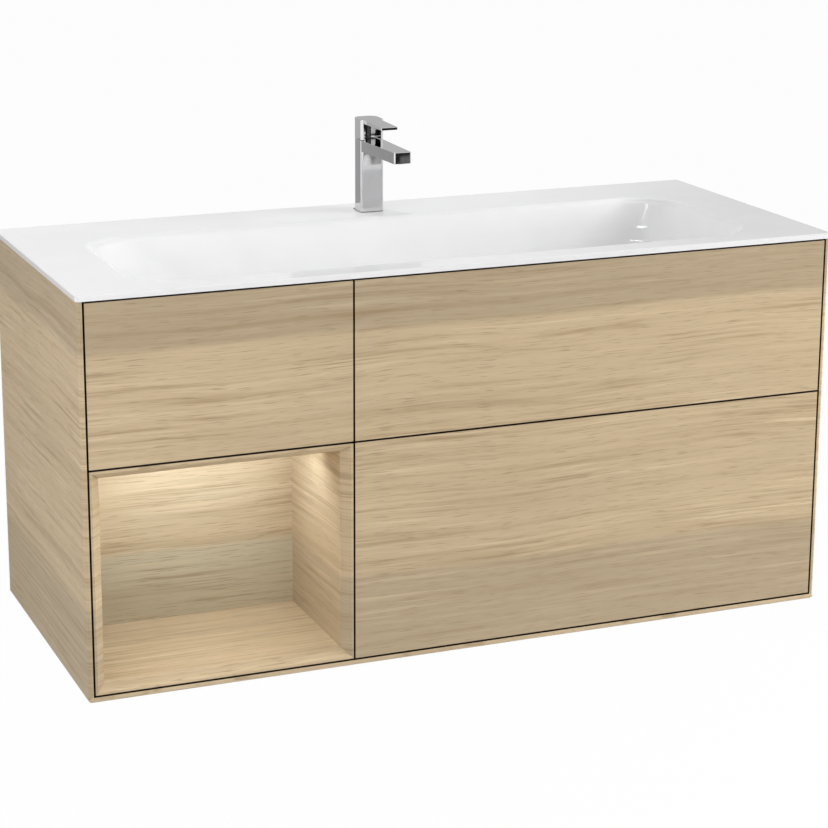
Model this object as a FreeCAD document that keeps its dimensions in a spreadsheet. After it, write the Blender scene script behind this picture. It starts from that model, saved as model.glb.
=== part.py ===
import FreeCAD, Part
import math
import os
import types

import Sketcher

# Wall-hung vanity unit: a beveled oak carcass with three push-to-open drawers and an open lit niche,
# a wide ceramic washbasin on top, a single-lever tap, a push-open waste and a bottle trap.
# Millimetres. X runs along the wall, Y points into the wall and Z up. Heights in the sizes below are
# counted from the underside of the carcass, and the origin lies among the wall screws, hang_drop
# below the carcass's top.

SIZES = {
    # carcass
    "cabinet_width": 1196,
    "cabinet_depth": 498,
    "cabinet_height": 591,
    "side_thickness": 16,
    "bottom_thickness": 16,
    "side_nose": 7.3,
    "bottom_nose": 8.6,
    "outer_bevel": 4,
    "shadow_gap": 3,
    "split_x": -191.1,
    "upper_row_height": 243.9,
    "partition_thickness": 16,
    "partition_drop": 14,
    "rear_rail_thickness": 16,
    "rear_rail_setback": 18,
    "upper_rail_drop": 31,
    "upper_rail_overlap": 24,
    "lower_rail_height": 120,
    "front_rail_height": 20,
    "front_rail_thickness": 16,
    # fronts and drawer boxes
    "front_thickness": 18,
    "front_clearance": 4,
    "drawer_board": 13,
    "drawer_floor": 8,
    "drawer_floor_rise": 10,
    "drawer_rear_gap": 31,
    "upper_box_rise": 17,
    "bowl_clearance": 26,
    "lower_box_rise": 14,
    "recess_width": 150,
    "recess_wall": 10,
    "recess_reach": 80,
    # telescopic runners
    "runner_room": 12.7,
    "rail_height": 36,
    "rail_side_gap": 1.2,
    "rail_gauge": 1.5,
    "rail_play": 0.3,
    "rail_end_gap": 11,
    "rail_rise": 14,
    # push latches
    "latch_width": 24,
    "latch_height": 14,
    "latch_drop": 12,
    "plunger_radius": 4,
    "plunger_reach": 7,
    "plunger_seat": 9,
    "plunger_room": 6,
    "running_play": 0.05,
    # lit niche
    "niche_edge": 3.5,
    "niche_bevel": 12.5,
    "niche_top_edge": 3.9,
    "niche_top_bevel": 8,
    "niche_depth": 227,
    "niche_back_thickness": 10,
    "light_setback": 102,
    "light_width": 14,
    "light_depth": 6.5,
    "light_wall": 1.2,
    "light_end_gap": 4,
    "light_strip": 8,
    "light_strip_thickness": 1.4,
    "light_cover": 1.5,
    # washbasin
    "basin_overhang": 2,
    "basin_edge": 8.5,
    "basin_corner": 5,
    "basin_lip": 2,
    "bowl_end_rim": 104,
    "bowl_front_rim": 49,
    "bowl_back_ledge": 124,
    "bowl_depth": 100,
    "bowl_wall": 9,
    "bowl_draft": 12,
    "bowl_corner": 75,
    "bowl_corner_growth": 4.6,
    "bowl_end_flat": 2,
    "bowl_floor_radius": 70,
    "bowl_floor_fall": 4,
    "bowl_drain_flat": 45,
    "bowl_rim_radius": 12,
    "drain_setback": 255,
    "drain_play": 0.5,
    "drain_seat_play": 1.5,
    "drain_seat_depth": 3.5,
    # tap
    "tap_setback": 63,
    "tap_hole_radius": 17.5,
    "tap_size": 39.5,
    "tap_corner": 5,
    "tap_back_corner": 14,
    "tap_height": 116,
    "tap_seal": 1,
    "tap_seal_inset": 1.5,
    "tap_seal_width": 1.5,
    "spout_width": 29,
    "spout_root_inset": 1,
    "spout_height": 18,
    "spout_reach": 149,
    "spout_round": 1.5,
    "aerator_wall": 3.5,
    "aerator_inset": 14.5,
    "aerator_depth": 8,
    "aerator_proud": 1,
    "cartridge_radius": 13,
    "cartridge_length": 40,
    "stem_radius": 4.5,
    "stem_depth": 10,
    "lever_gap": 0.8,
    "lever_height": 32.7,
    "lever_reach": 93,
    "lever_drop": 2.7,
    "lever_blade_width": 28,
    "lever_tip_thickness": 4,
    "lever_root_thickness": 7,
    "lever_back_wall": 5,
    "lever_side_wall": 5.5,
    "lever_roof": 8.2,
    "lever_heel_bevel": 5,
    "pivot_radius": 1.5,
    "pivot_drop": 12,
    "pivot_inset": 9,
    "pivot_cover": 2.5,
    "pivot_arm_width": 8,
    "pivot_arm_height": 4.5,
    "stud_radius": 4,
    "stud_setback": 9,
    "stud_length": 38,
    "stud_seat": 12,
    "stud_nut_radius": 6.5,
    "stud_nut_height": 6,
    "clamp_radius": 22,
    "clamp_thickness": 4,
    "clamp_inset": 3,
    "inlet_radius": 4.5,
    "inlet_depth": 12,
    "inlet_spread": 7.5,
    "inlet_forward": 5,
    # waste and trap
    "flange_radius": 31.5,
    "flange_thickness": 3,
    "waste_wall": 2.5,
    "waste_length": 80,
    "waste_nut_wall": 9,
    "waste_nut_height": 12,
    "guide_radius": 4,
    "guide_bar": 10,
    "guide_height": 6,
    "guide_drop": 30,
    "plug_radius": 30,
    "plug_edge": 2.5,
    "plug_crown": 2,
    "plug_stem_length": 44,
    "pipe_radius": 16,
    "pipe_wall": 1.5,
    "pipe_room": 3.5,
    "pipe_overlap": 14,
    "spigot_step": 0.3,
    "coupling_wall": 7,
    "coupling_height": 24,
    "trap_radius": 32,
    "trap_wall": 3,
    "trap_drop": 55,
    "trap_clearance": 24,
    "trap_height": 56,
    "trap_outlet_rise": 32,
    "cup_depth": 72,
    "cup_collar": 10,
    "cup_collar_wall": 3,
    "dip_gap": 34,
    "outlet_stub": 60,
    # hanging hardware
    "hang_drop": 56,
    "plate_inset": 37,
    "plate_width": 60,
    "plate_height": 66,
    "plate_thickness": 3,
    "plate_hole_spacing": 32,
    "plate_hole_radius": 3.25,
    "plate_lip_rise": 28,
    "plate_lip_reach": 8,
    "plate_upstand": 10,
    "hook_width": 5,
    "hook_height": 12,
    "hook_play": 0.5,
    "hanger_depth": 48,
    "hanger_height": 28,
    "hanger_inset": 12,
}


class Size:
    """A length that keeps both its sheet expression and its present value."""

    def __init__(self, text, value):
        self.text = text
        self.value = value

    @staticmethod
    def of(other):
        return other if isinstance(other, Size) else Size(repr(other), other)

    def __add__(self, other):
        other = Size.of(other)
        return Size(f"({self.text} + {other.text})", self.value + other.value)

    def __sub__(self, other):
        other = Size.of(other)
        return Size(f"({self.text} - {other.text})", self.value - other.value)

    def __mul__(self, factor):
        factor = Size.of(factor)
        return Size(f"({self.text} * {factor.text})", self.value * factor.value)

    def __truediv__(self, divisor):
        divisor = Size.of(divisor)
        return Size(f"({self.text} / {divisor.text})", self.value / divisor.value)

    def __neg__(self):
        return Size(f"(0 - {self.text})", -self.value)

    def __radd__(self, other):
        return Size.of(other) + self

    def __rsub__(self, other):
        return Size.of(other) - self

    def __rmul__(self, other):
        return Size.of(other) * self


def sine(degrees):
    degrees = Size.of(degrees)
    return Size(f"sin({degrees.text})", math.sin(math.radians(degrees.value)))


def cosine(degrees):
    degrees = Size.of(degrees)
    return Size(f"cos({degrees.text})", math.cos(math.radians(degrees.value)))


def smaller(one, other):
    return Size(f"min({one.text}; {other.text})", min(one.value, other.value))


doc = FreeCAD.newDocument("vanity_unit")
sheet = doc.addObject("Spreadsheet::Sheet", "dims")
for row, (alias, number) in enumerate(SIZES.items(), start=1):
    sheet.set(f"A{row}", alias)
    sheet.set(f"B{row}", str(number))
    sheet.setAlias(f"B{row}", alias)
doc.recompute()

S = types.SimpleNamespace(**{alias: Size(f"dims.{alias}", number) for alias, number in SIZES.items()})
ZERO = Size("0", 0.0)
TOUCH = 1e-3
FLOOR_STEPS = 5
hang_height = S.cabinet_height - S.hang_drop
subparts = []


# Building blocks

def bind(item, prop, size):
    item.setExpression(prop, Size.of(size).text)


def place(item, x, y, z):
    bind(item, "Placement.Base.x", x)
    bind(item, "Placement.Base.y", y)
    bind(item, "Placement.Base.z", Size.of(z) - hang_height)


def keep(item, label):
    item.Label = label
    subparts.append(item)
    return item


def block(name, x, y, z):
    """A box between two values along each axis."""
    item = doc.addObject("Part::Box", name)
    for prop, (low, high) in zip(("Length", "Width", "Height"), (x, y, z)):
        bind(item, prop, Size.of(high) - low)
    place(item, x[0], y[0], z[0])
    return item


def board(label, x, y, z):
    return keep(block(label, x, y, z), label)


TURNS = {
    "X": FreeCAD.Rotation(FreeCAD.Vector(0, 1, 0), 90),
    "Y": FreeCAD.Rotation(FreeCAD.Vector(1, 0, 0), -90),
    "Z": FreeCAD.Rotation(),
}


def rod(name, radius, axis, start, length):
    """A cylinder that starts at a point and runs along the positive X, Y or Z axis."""
    item = doc.addObject("Part::Cylinder", name)
    bind(item, "Radius", radius)
    bind(item, "Height", length)
    item.Placement = FreeCAD.Placement(FreeCAD.Vector(), TURNS[axis])
    place(item, *start)
    return item


def joined(name, members):
    item = doc.addObject("Part::MultiFuse", name)
    item.Shapes = members
    return item


def cut(name, base, tools):
    item = doc.addObject("Part::Cut", name)
    item.Base = base
    item.Tool = tools[0] if len(tools) == 1 else joined(f"{name}_tools", tools)
    return item


def common(name, base, tool):
    item = doc.addObject("Part::Common", name)
    item.Base = base
    item.Tool = tool
    return item


def group(label, members):
    """Separate solids of one kind that share a node."""
    item = doc.addObject("Part::Compound", label)
    item.Links = members
    return keep(item, label)


def new_body(name, x=ZERO, y=ZERO, z=ZERO):
    body = doc.addObject("PartDesign::Body", name)
    place(body, x, y, z)
    return body


def new_sketch(body, name, role, offset):
    """An empty sketch at a distance from one of a body's origin planes."""
    sketch = body.newObject("Sketcher::SketchObject", name)
    plane = next(item for item in body.Origin.OriginFeatures if item.Role == role)
    sketch.AttachmentSupport = (plane, "")
    sketch.MapMode = "FlatFace"
    bind(sketch, "AttachmentOffset.Base.z", offset)
    return sketch


def flat_point(place):
    return FreeCAD.Vector(place[0].value, place[1].value, 0)


START, END, CENTRE = 1, 2, 3


def tie(sketch, piece, point, place):
    """Ties a start, end or centre of a sketch's piece to its sizes, across and then up."""
    for kind, size in zip(("DistanceX", "DistanceY"), place):
        number = sketch.addConstraint(Sketcher.Constraint(kind, -1, 1, piece, point, size.value))
        sketch.setExpression(f"Constraints[{number}]", size.text)


def close_up(sketch):
    """Joins the end of each piece of a sketch to the start of the next."""
    count = sketch.GeometryCount
    for piece in range(count):
        sketch.addConstraint(Sketcher.Constraint("Coincident", piece, END, (piece + 1) % count, START))


def outline(body, name, role, points, offset=ZERO):
    """A closed sketch of straight lines whose corners are tied to the sizes, on an origin plane."""
    sketch = new_sketch(body, name, role, offset)
    corners = [(Size.of(u), Size.of(v)) for u, v in points]
    for corner, following in zip(corners, corners[1:] + corners[:1]):
        sketch.addGeometry(Part.LineSegment(flat_point(corner), flat_point(following)))
    close_up(sketch)
    for piece, corner in enumerate(corners):
        tie(sketch, piece, START, corner)
    return sketch


def pad(body, sketch, length):
    feature = body.newObject("PartDesign::Pad", f"{sketch.Name}_pad")
    feature.Profile = sketch
    bind(feature, "Length", length)
    return feature


def prism(name, role, points, start, length):
    """A straight-sided solid carried square off an origin plane."""
    body = new_body(name)
    pad(body, outline(body, f"{name}_outline", role, points, start), length)
    return body


def turned(name, points, x, y, z):
    """A solid of revolution about an upright axis, from radius and height pairs."""
    body = new_body(name, x, y, z)
    sketch = outline(body, f"{name}_outline", "XZ_Plane", points)
    feature = body.newObject("PartDesign::Revolution", f"{name}_turn")
    feature.Profile = sketch
    feature.ReferenceAxis = (sketch, ["V_Axis"])
    feature.Angle = 360
    return body


def rounded(body, radius, chosen):
    """Rounds the edges of a body's last feature that the chosen test picks."""
    doc.recompute()
    base = body.Tip
    names = [f"Edge{i}" for i, edge in enumerate(base.Shape.Edges, start=1) if chosen(edge)]
    feature = body.newObject("PartDesign::Fillet", f"{base.Name}_round")
    feature.Base = (base, names)
    bind(feature, "Radius", radius)
    doc.recompute()
    return feature


def is_upright(edge):
    """True for a straight edge that rises more than it runs."""
    chord = edge.Vertexes[-1].Point - edge.Vertexes[0].Point
    return abs(chord.z) > edge.Length * math.sqrt(0.5)


def lies_at(edge, height):
    return all(abs(vertex.Z - height) < TOUCH for vertex in edge.Vertexes)


# Shared places, all in the sheet's sizes

half_width = S.cabinet_width / 2
inner_half = half_width - S.side_thickness
front_y = -S.cabinet_depth
front_back_y = front_y + S.front_thickness
rebate_y = front_back_y + S.front_clearance
rail_front_y = -(S.rear_rail_setback + S.rear_rail_thickness)
box_rear_y = rail_front_y - S.drawer_rear_gap
split_z = S.cabinet_height - S.upper_row_height
basin_top = S.cabinet_height + S.basin_edge
basin_front_y = front_y - S.basin_overhang
bowl_underside = basin_top - S.bowl_depth - S.bowl_wall
tap_y = -S.tap_setback
drain_y = -S.drain_setback
waste_bore = S.pipe_radius + S.pipe_room
waste_radius = waste_bore + S.waste_wall
drain_seat = basin_top - S.bowl_depth - S.drain_seat_depth
waste_end = drain_seat + S.flange_thickness - S.waste_length
trap_top = waste_end - S.coupling_height / 2 - S.trap_drop
trap_joint = trap_top - S.trap_height
cup_low = trap_joint - S.cup_depth

outer_left = -half_width + S.side_nose + S.shadow_gap
outer_right = half_width - S.side_nose - S.shadow_gap
split_left = S.split_x - S.shadow_gap / 2
split_right = S.split_x + S.shadow_gap / 2
row_low = S.bottom_nose + S.shadow_gap
row_split_low = split_z - S.shadow_gap / 2
row_split_high = split_z + S.shadow_gap / 2
row_high = S.cabinet_height - S.shadow_gap

partition_left = S.split_x - S.partition_thickness / 2
partition_right = S.split_x + S.partition_thickness / 2

upper_box_low = split_z + S.upper_box_rise
upper_box_top = bowl_underside - S.bowl_clearance
lower_box_low = S.bottom_thickness + S.lower_box_rise
lower_box_top = cup_low - S.trap_clearance


def build_carcass():
    """Sides and bottom mitred together behind a beveled front edge, a partition and three rails."""
    top = S.cabinet_height
    mitre = S.bottom_thickness - S.outer_bevel
    for label, sign in (("left_side_panel", -1), ("right_side_panel", 1)):
        outer, inner, nose = sign * half_width, sign * inner_half, sign * (half_width - S.side_nose)
        blank = prism(f"{label}_blank", "XZ_Plane", [
            (outer, S.outer_bevel),
            (outer - sign * mitre, S.bottom_thickness),
            (inner, S.bottom_thickness),
            (inner, top),
            (outer, top),
        ], ZERO, S.cabinet_depth)
        low_x, high_x = (nose, inner) if sign < 0 else (inner, nose)
        rebate = block(f"{label}_rebate", (low_x, high_x), (front_y, rebate_y), (S.bottom_nose, top))
        bevel = prism(f"{label}_bevel", "XY_Plane", [
            (outer, front_y),
            (outer - sign * S.outer_bevel, front_y),
            (outer, front_y + S.outer_bevel),
        ], ZERO, top)
        keep(cut(label, blank, [rebate, bevel]), label)

    foot = half_width - S.outer_bevel
    shoulder = half_width - mitre
    blank = prism("bottom_panel_blank", "XZ_Plane", [
        (-foot, ZERO),
        (foot, ZERO),
        (half_width, S.outer_bevel),
        (shoulder, S.bottom_thickness),
        (-shoulder, S.bottom_thickness),
        (-half_width, S.outer_bevel),
    ], ZERO, S.cabinet_depth)
    nose = half_width - S.side_nose
    rebate = block("bottom_panel_rebate", (-nose, nose), (front_y, rebate_y),
                   (S.bottom_nose, S.bottom_thickness))
    bevel = prism("bottom_panel_bevel", "YZ_Plane", [
        (front_y, ZERO),
        (front_y + S.outer_bevel, ZERO),
        (front_y, S.outer_bevel),
    ], -half_width, S.cabinet_width)
    keep(cut("bottom_panel", blank, [rebate, bevel]), "bottom_panel")

    board("centre_partition", (partition_left, partition_right), (rebate_y, rail_front_y),
          (S.bottom_thickness, upper_box_top - S.partition_drop))
    rail_y = (rail_front_y, -S.rear_rail_setback)
    board("upper_rear_rail", (-inner_half, inner_half), rail_y,
          (upper_box_top - S.upper_rail_overlap, S.cabinet_height - S.upper_rail_drop))
    board("lower_rear_rail", (-inner_half, inner_half), rail_y,
          (S.bottom_thickness, S.bottom_thickness + S.lower_rail_height))
    board("front_rail", (partition_right, inner_half), (rebate_y, rebate_y + S.front_rail_thickness),
          (split_z - S.front_rail_height / 2, split_z + S.front_rail_height / 2))


def build_niche():
    """Four mitred boards with a beveled mouth round a back board, seated in the carcass."""
    rim = S.niche_edge + S.niche_bevel
    top_rim = S.niche_top_edge + S.niche_top_bevel
    left, right, low, high = outer_left, split_left, row_low, row_split_low
    in_left, in_right, in_low, in_high = left + rim, right - rim, low + rim, high - top_rim
    back_y = front_y + S.niche_depth
    rear_y = back_y + S.niche_back_thickness
    mouth = block("niche_mouth", (left, right), (front_y, rebate_y), (low, high))
    housing = block("niche_housing", (-inner_half, partition_left), (rebate_y, rear_y),
                    (S.bottom_thickness, high))
    envelope = joined("niche_envelope", [mouth, housing])
    reach = -rear_y

    boards = {
        "niche_left": [(left, low), (in_left, in_low), (in_left, in_high), (left, high)],
        "niche_right": [(right, high), (in_right, in_high), (in_right, in_low), (right, low)],
        "niche_bottom": [(left, low), (right, low), (in_right, in_low), (in_left, in_low)],
        "niche_top": [(left, high), (in_left, in_high), (in_right, in_high), (right, high)],
    }
    bevels = {
        "niche_left": ("XY_Plane", in_left, -1, S.niche_bevel, low, high - low),
        "niche_right": ("XY_Plane", in_right, 1, S.niche_bevel, low, high - low),
        "niche_bottom": ("YZ_Plane", in_low, -1, S.niche_bevel, left, right - left),
        "niche_top": ("YZ_Plane", in_high, 1, S.niche_top_bevel, left, right - left),
    }
    light_y = front_y + S.light_setback
    light_x = (in_left + S.light_end_gap, in_right - S.light_end_gap)
    groove_y = (light_y - S.light_width / 2, light_y + S.light_width / 2)
    groove_z = (in_high, in_high + S.light_depth)

    for label, corners in boards.items():
        wedge = prism(f"{label}_wedge", "XZ_Plane", corners, reach, S.niche_depth + S.niche_back_thickness)
        blank = common(f"{label}_blank", wedge, envelope)
        role, face, sign, bevel, start, length = bevels[label]
        triangle = [(face, front_y), (face + sign * bevel, front_y), (face, front_y + bevel)]
        if role == "YZ_Plane":
            triangle = [(v, u) for u, v in triangle]
        tools = [prism(f"{label}_bevel", role, triangle, start, length)]
        if label == "niche_top":
            tools.append(block("niche_light_groove", light_x, groove_y, groove_z))
        keep(cut(label, blank, tools), label)

    board("niche_back", (in_left, in_right), (back_y, rear_y), (in_low, in_high))

    wall, cover = S.light_wall, S.light_cover
    trough_y = (groove_y[0] + wall, groove_y[1] - wall)
    outer = block("light_profile_blank", light_x, groove_y, groove_z)
    trough = block("light_profile_trough", light_x, trough_y, (in_high, groove_z[1] - wall))
    keep(cut("light_profile", outer, [trough]), "light_profile")
    strip_y = (light_y - S.light_strip / 2, light_y + S.light_strip / 2)
    strip_top = groove_z[1] - wall
    board("light_strip_board", light_x, strip_y, (strip_top - S.light_strip_thickness, strip_top))
    board("light_diffuser", light_x, trough_y, (in_high, in_high + cover))


def build_rails(name, face, sign, base_z):
    """Cabinet, middle and drawer rail of one runner, on a panel face that looks along sign."""
    gauge, play = S.rail_gauge, S.rail_play
    y = (rebate_y, box_rear_y - S.rail_end_gap)
    rail_reach = S.runner_room - S.rail_side_gap
    low = base_z + S.rail_rise
    high = low + S.rail_height

    def across(near, far):
        ends = (face + sign * near, face + sign * far)
        return ends if sign > 0 else (ends[1], ends[0])

    def channel(part, start, shrink):
        outer = block(f"{name}_{part}_blank", across(start, rail_reach), y, (low + shrink, high - shrink))
        hollow = block(f"{name}_{part}_hollow", across(start + gauge, rail_reach), y,
                       (low + shrink + gauge, high - shrink - gauge))
        return cut(f"{name}_{part}", outer, [hollow])

    step = gauge + play
    cabinet_rail = channel("cabinet_rail", ZERO, ZERO)
    middle_rail = channel("middle_rail", step, step)
    drawer_rail = block(f"{name}_drawer_rail", across(step * 2, S.runner_room), y,
                        (low + step * 2, high - step * 2))
    return cabinet_rail, middle_rail, drawer_rail


def build_drawer(name, front_x, front_z, bay_x, box_z, recessed=False):
    """Front, two sides, back and floor of one drawer, with both its runners. Returns the cabinet rails."""
    base_z = box_z[0]
    board(f"{name}_front", front_x, (front_y, front_back_y), front_z)
    left, right = bay_x[0] + S.runner_room, bay_x[1] - S.runner_room
    in_left, in_right = left + S.drawer_board, right - S.drawer_board
    y = (front_back_y, box_rear_y)
    inner_back_y = box_rear_y - S.drawer_board
    board(f"{name}_left_side", (left, in_left), y, box_z)
    board(f"{name}_right_side", (in_right, right), y, box_z)

    floor_z = (base_z + S.drawer_floor_rise, base_z + S.drawer_floor_rise + S.drawer_floor)
    floor = block(f"{name}_floor_blank", (in_left, in_right), (front_back_y, inner_back_y), floor_z)
    back_y = (inner_back_y, box_rear_y)
    if recessed:
        inner, outer = S.recess_width / 2, S.recess_width / 2 + S.recess_wall
        inner_y = drain_y - S.recess_reach
        outer_y = inner_y - S.recess_wall
        notch = block(f"{name}_floor_notch", (-outer, outer), (outer_y, inner_back_y), floor_z)
        keep(cut(f"{name}_floor", floor, [notch]), f"{name}_floor")
        group(f"{name}_back", [
            block(f"{name}_back_left", (in_left, -outer), back_y, box_z),
            block(f"{name}_back_right", (outer, in_right), back_y, box_z),
        ])
        shell = block("trap_recess_blank", (-outer, outer), (outer_y, box_rear_y), box_z)
        hollow = block("trap_recess_hollow", (-inner, inner), (inner_y, box_rear_y), box_z)
        keep(cut("trap_recess_wall", shell, [hollow]), "trap_recess_wall")
    else:
        keep(floor, f"{name}_floor")
        board(f"{name}_back", (in_left, in_right), back_y, box_z)

    runners = [build_rails(f"{name}_{side}", face, sign, base_z)
               for side, face, sign in (("left", bay_x[0], 1), ("right", bay_x[1], -1))]
    group(f"{name}_middle_rails", [middle for _, middle, _ in runners])
    group(f"{name}_inner_rails", [inner_rail for _, _, inner_rail in runners])
    return [cabinet_rail for cabinet_rail, _, _ in runners]


def build_latch(name, x, z):
    """A push latch on a rear rail: its housing with a blind bore, and the plunger that runs in it."""
    mouth_y = box_rear_y + S.plunger_reach
    half_latch, half_height = S.latch_width / 2, S.latch_height / 2
    shell = block(f"{name}_latch_blank", (x - half_latch, x + half_latch), (mouth_y, rail_front_y),
                  (z - half_height, z + half_height))
    bore = rod(f"{name}_latch_bore", S.plunger_radius + S.running_play, "Y", (x, mouth_y, z),
               S.plunger_seat + S.plunger_room)
    label = f"{name}_latch_plunger"
    plunger_length = S.plunger_reach - S.rail_play + S.plunger_seat
    keep(rod(label, S.plunger_radius, "Y", (x, box_rear_y + S.rail_play, z), plunger_length), label)
    return cut(f"{name}_latch_housing", shell, [bore])


def build_drawers():
    """Two upper drawers, one lower drawer beside the niche, and the fixed halves of their hardware."""
    left_bay, right_bay = (-inner_half, partition_left), (partition_right, inner_half)
    upper_front, lower_front = (row_split_high, row_high), (row_low, row_split_low)
    left_front, right_front = (outer_left, split_left), (split_right, outer_right)
    upper_box, lower_box = (upper_box_low, upper_box_top), (lower_box_low, lower_box_top)
    rails = build_drawer("upper_left_drawer", left_front, upper_front, left_bay, upper_box)
    rails += build_drawer("upper_right_drawer", right_front, upper_front, right_bay, upper_box, recessed=True)
    rails += build_drawer("lower_right_drawer", right_front, lower_front, right_bay, lower_box)
    group("cabinet_rails", rails)
    left_mid = (left_bay[0] + left_bay[1]) / 2
    right_mid = (right_bay[0] + right_bay[1]) / 2
    upper_latch_z = upper_box_top - S.latch_drop
    lower_latch_z = S.bottom_thickness + S.lower_rail_height - S.latch_drop
    group("latch_housings", [
        build_latch("upper_left", left_mid, upper_latch_z),
        build_latch("upper_right", right_mid, upper_latch_z),
        build_latch("lower_right", right_mid, lower_latch_z),
    ])


def rectangle(half_x, low_y, high_y):
    return [(-half_x, low_y), (half_x, low_y), (half_x, high_y), (-half_x, high_y)]


def soft_outline(body, name, half_x, y, corner, height):
    """A level sketch of a round-cornered rectangle at a height, in arcs and lines tied to the sizes."""
    low, high = y
    centres = rectangle(half_x - corner, low + corner, high - corner)
    on_ends = rectangle(half_x, low + corner, high - corner)
    on_sides = rectangle(half_x - corner, low, high)
    arc_starts = [on_ends[0], on_sides[1], on_ends[2], on_sides[3]]
    arc_ends = [on_sides[0], on_ends[1], on_sides[2], on_ends[3]]
    sketch = new_sketch(body, name, "XY_Plane", height)
    quarter = math.pi / 2
    for number, centre in enumerate(centres):
        turn = math.pi + number * quarter
        circle = Part.Circle(flat_point(centre), FreeCAD.Vector(0, 0, 1), corner.value)
        sketch.addGeometry(Part.ArcOfCircle(circle, turn, turn + quarter))
        following = arc_starts[(number + 1) % len(arc_starts)]
        sketch.addGeometry(Part.LineSegment(flat_point(arc_ends[number]), flat_point(following)))
    close_up(sketch)
    for number, centre in enumerate(centres):
        arc = 2 * number
        tie(sketch, arc, START, arc_starts[number])
        tie(sketch, arc, END, arc_ends[number])
        tie(sketch, arc, CENTRE, centre[:1])
    return sketch


def sink_bowl(body, part, wall):
    """Adds the bowl, one wall further out: a drafted wall, a wide floor round and a fall to the drain."""
    half_bowl = half_width + S.basin_overhang - S.bowl_end_rim
    front = basin_front_y + S.bowl_front_rim
    back = -S.bowl_back_ledge
    sketches = []

    def add_outline(inset, depth, spread):
        corner = smaller(S.bowl_corner + S.bowl_corner_growth * inset,
                         (back - front) / 2 - inset - S.bowl_end_flat)
        reach = spread - inset
        sketches.append(soft_outline(body, f"{part}_outline_{len(sketches)}", half_bowl + reach,
                                     (front - reach, back + reach), corner + spread, basin_top - depth))

    steep = 90 - S.bowl_draft
    wall_depth = S.bowl_depth - S.bowl_floor_fall - S.bowl_floor_radius * (1 - cosine(steep))
    wall_inset = wall_depth * cosine(steep) / sine(steep)
    add_outline(ZERO, ZERO, wall)
    for step in range(FLOOR_STEPS + 1):
        slope = steep * (1 - step / FLOOR_STEPS)
        inset = wall_inset + S.bowl_floor_radius * (sine(steep) - sine(slope))
        depth = wall_depth + (S.bowl_floor_radius + wall) * cosine(slope) - S.bowl_floor_radius * cosine(steep)
        add_outline(inset, depth, wall * sine(slope))
    flat = S.bowl_drain_flat + wall
    sketches.append(soft_outline(body, f"{part}_drain_outline", flat, (drain_y - flat, drain_y + flat),
                                 flat - S.bowl_end_flat, basin_top - S.bowl_depth - wall))
    feature = body.newObject("PartDesign::AdditiveLoft", f"{part}_loft")
    feature.Profile = sketches[0]
    feature.Sections = [(sketch, [""]) for sketch in sketches[1:]]
    feature.Ruled = True
    doc.recompute()


def build_washbasin():
    """A thin slab with a soft, round-ended bowl hung from it, a tap hole and a drain seat."""
    body = new_body("basin_slab")
    slab_plan = rectangle(half_width + S.basin_overhang, basin_front_y, ZERO)
    pad(body, outline(body, "slab_outline", "XY_Plane", slab_plan, S.cabinet_height), S.basin_edge)
    rounded(body, S.basin_corner, is_upright)
    rounded(body, S.basin_lip, lambda edge: lies_at(edge, basin_top.value))
    sink_bowl(body, "bowl_shell", S.bowl_wall)
    cavity = new_body("bowl_cavity")
    sink_bowl(cavity, "bowl", ZERO)
    bowl = cut("basin_with_bowl", body, [cavity])
    doc.recompute()

    top = (basin_top - hang_height).value
    mouth = cavity.Shape.BoundBox
    mouth.enlarge(TOUCH)
    rim = [number for number, edge in enumerate(bowl.Shape.Edges, start=1)
           if lies_at(edge, top) and mouth.isInside(edge.BoundBox)]
    rolled = doc.addObject("Part::Fillet", "basin_rolled_rim")
    rolled.Base = bowl
    rolled.Edges = [(number, S.bowl_rim_radius.value, S.bowl_rim_radius.value) for number in rim]

    through = S.basin_edge + S.bowl_wall
    holes = [
        rod("tap_hole", S.tap_hole_radius, "Z", (ZERO, tap_y, S.cabinet_height - S.basin_edge), through * 2),
        rod("drain_hole", waste_radius + S.drain_play, "Z", (ZERO, drain_y, drain_seat - through), through * 2),
        rod("drain_recess", S.flange_radius + S.drain_seat_play, "Z", (ZERO, drain_y, drain_seat), through),
    ]
    keep(cut("washbasin", rolled, holes), "washbasin")


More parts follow.
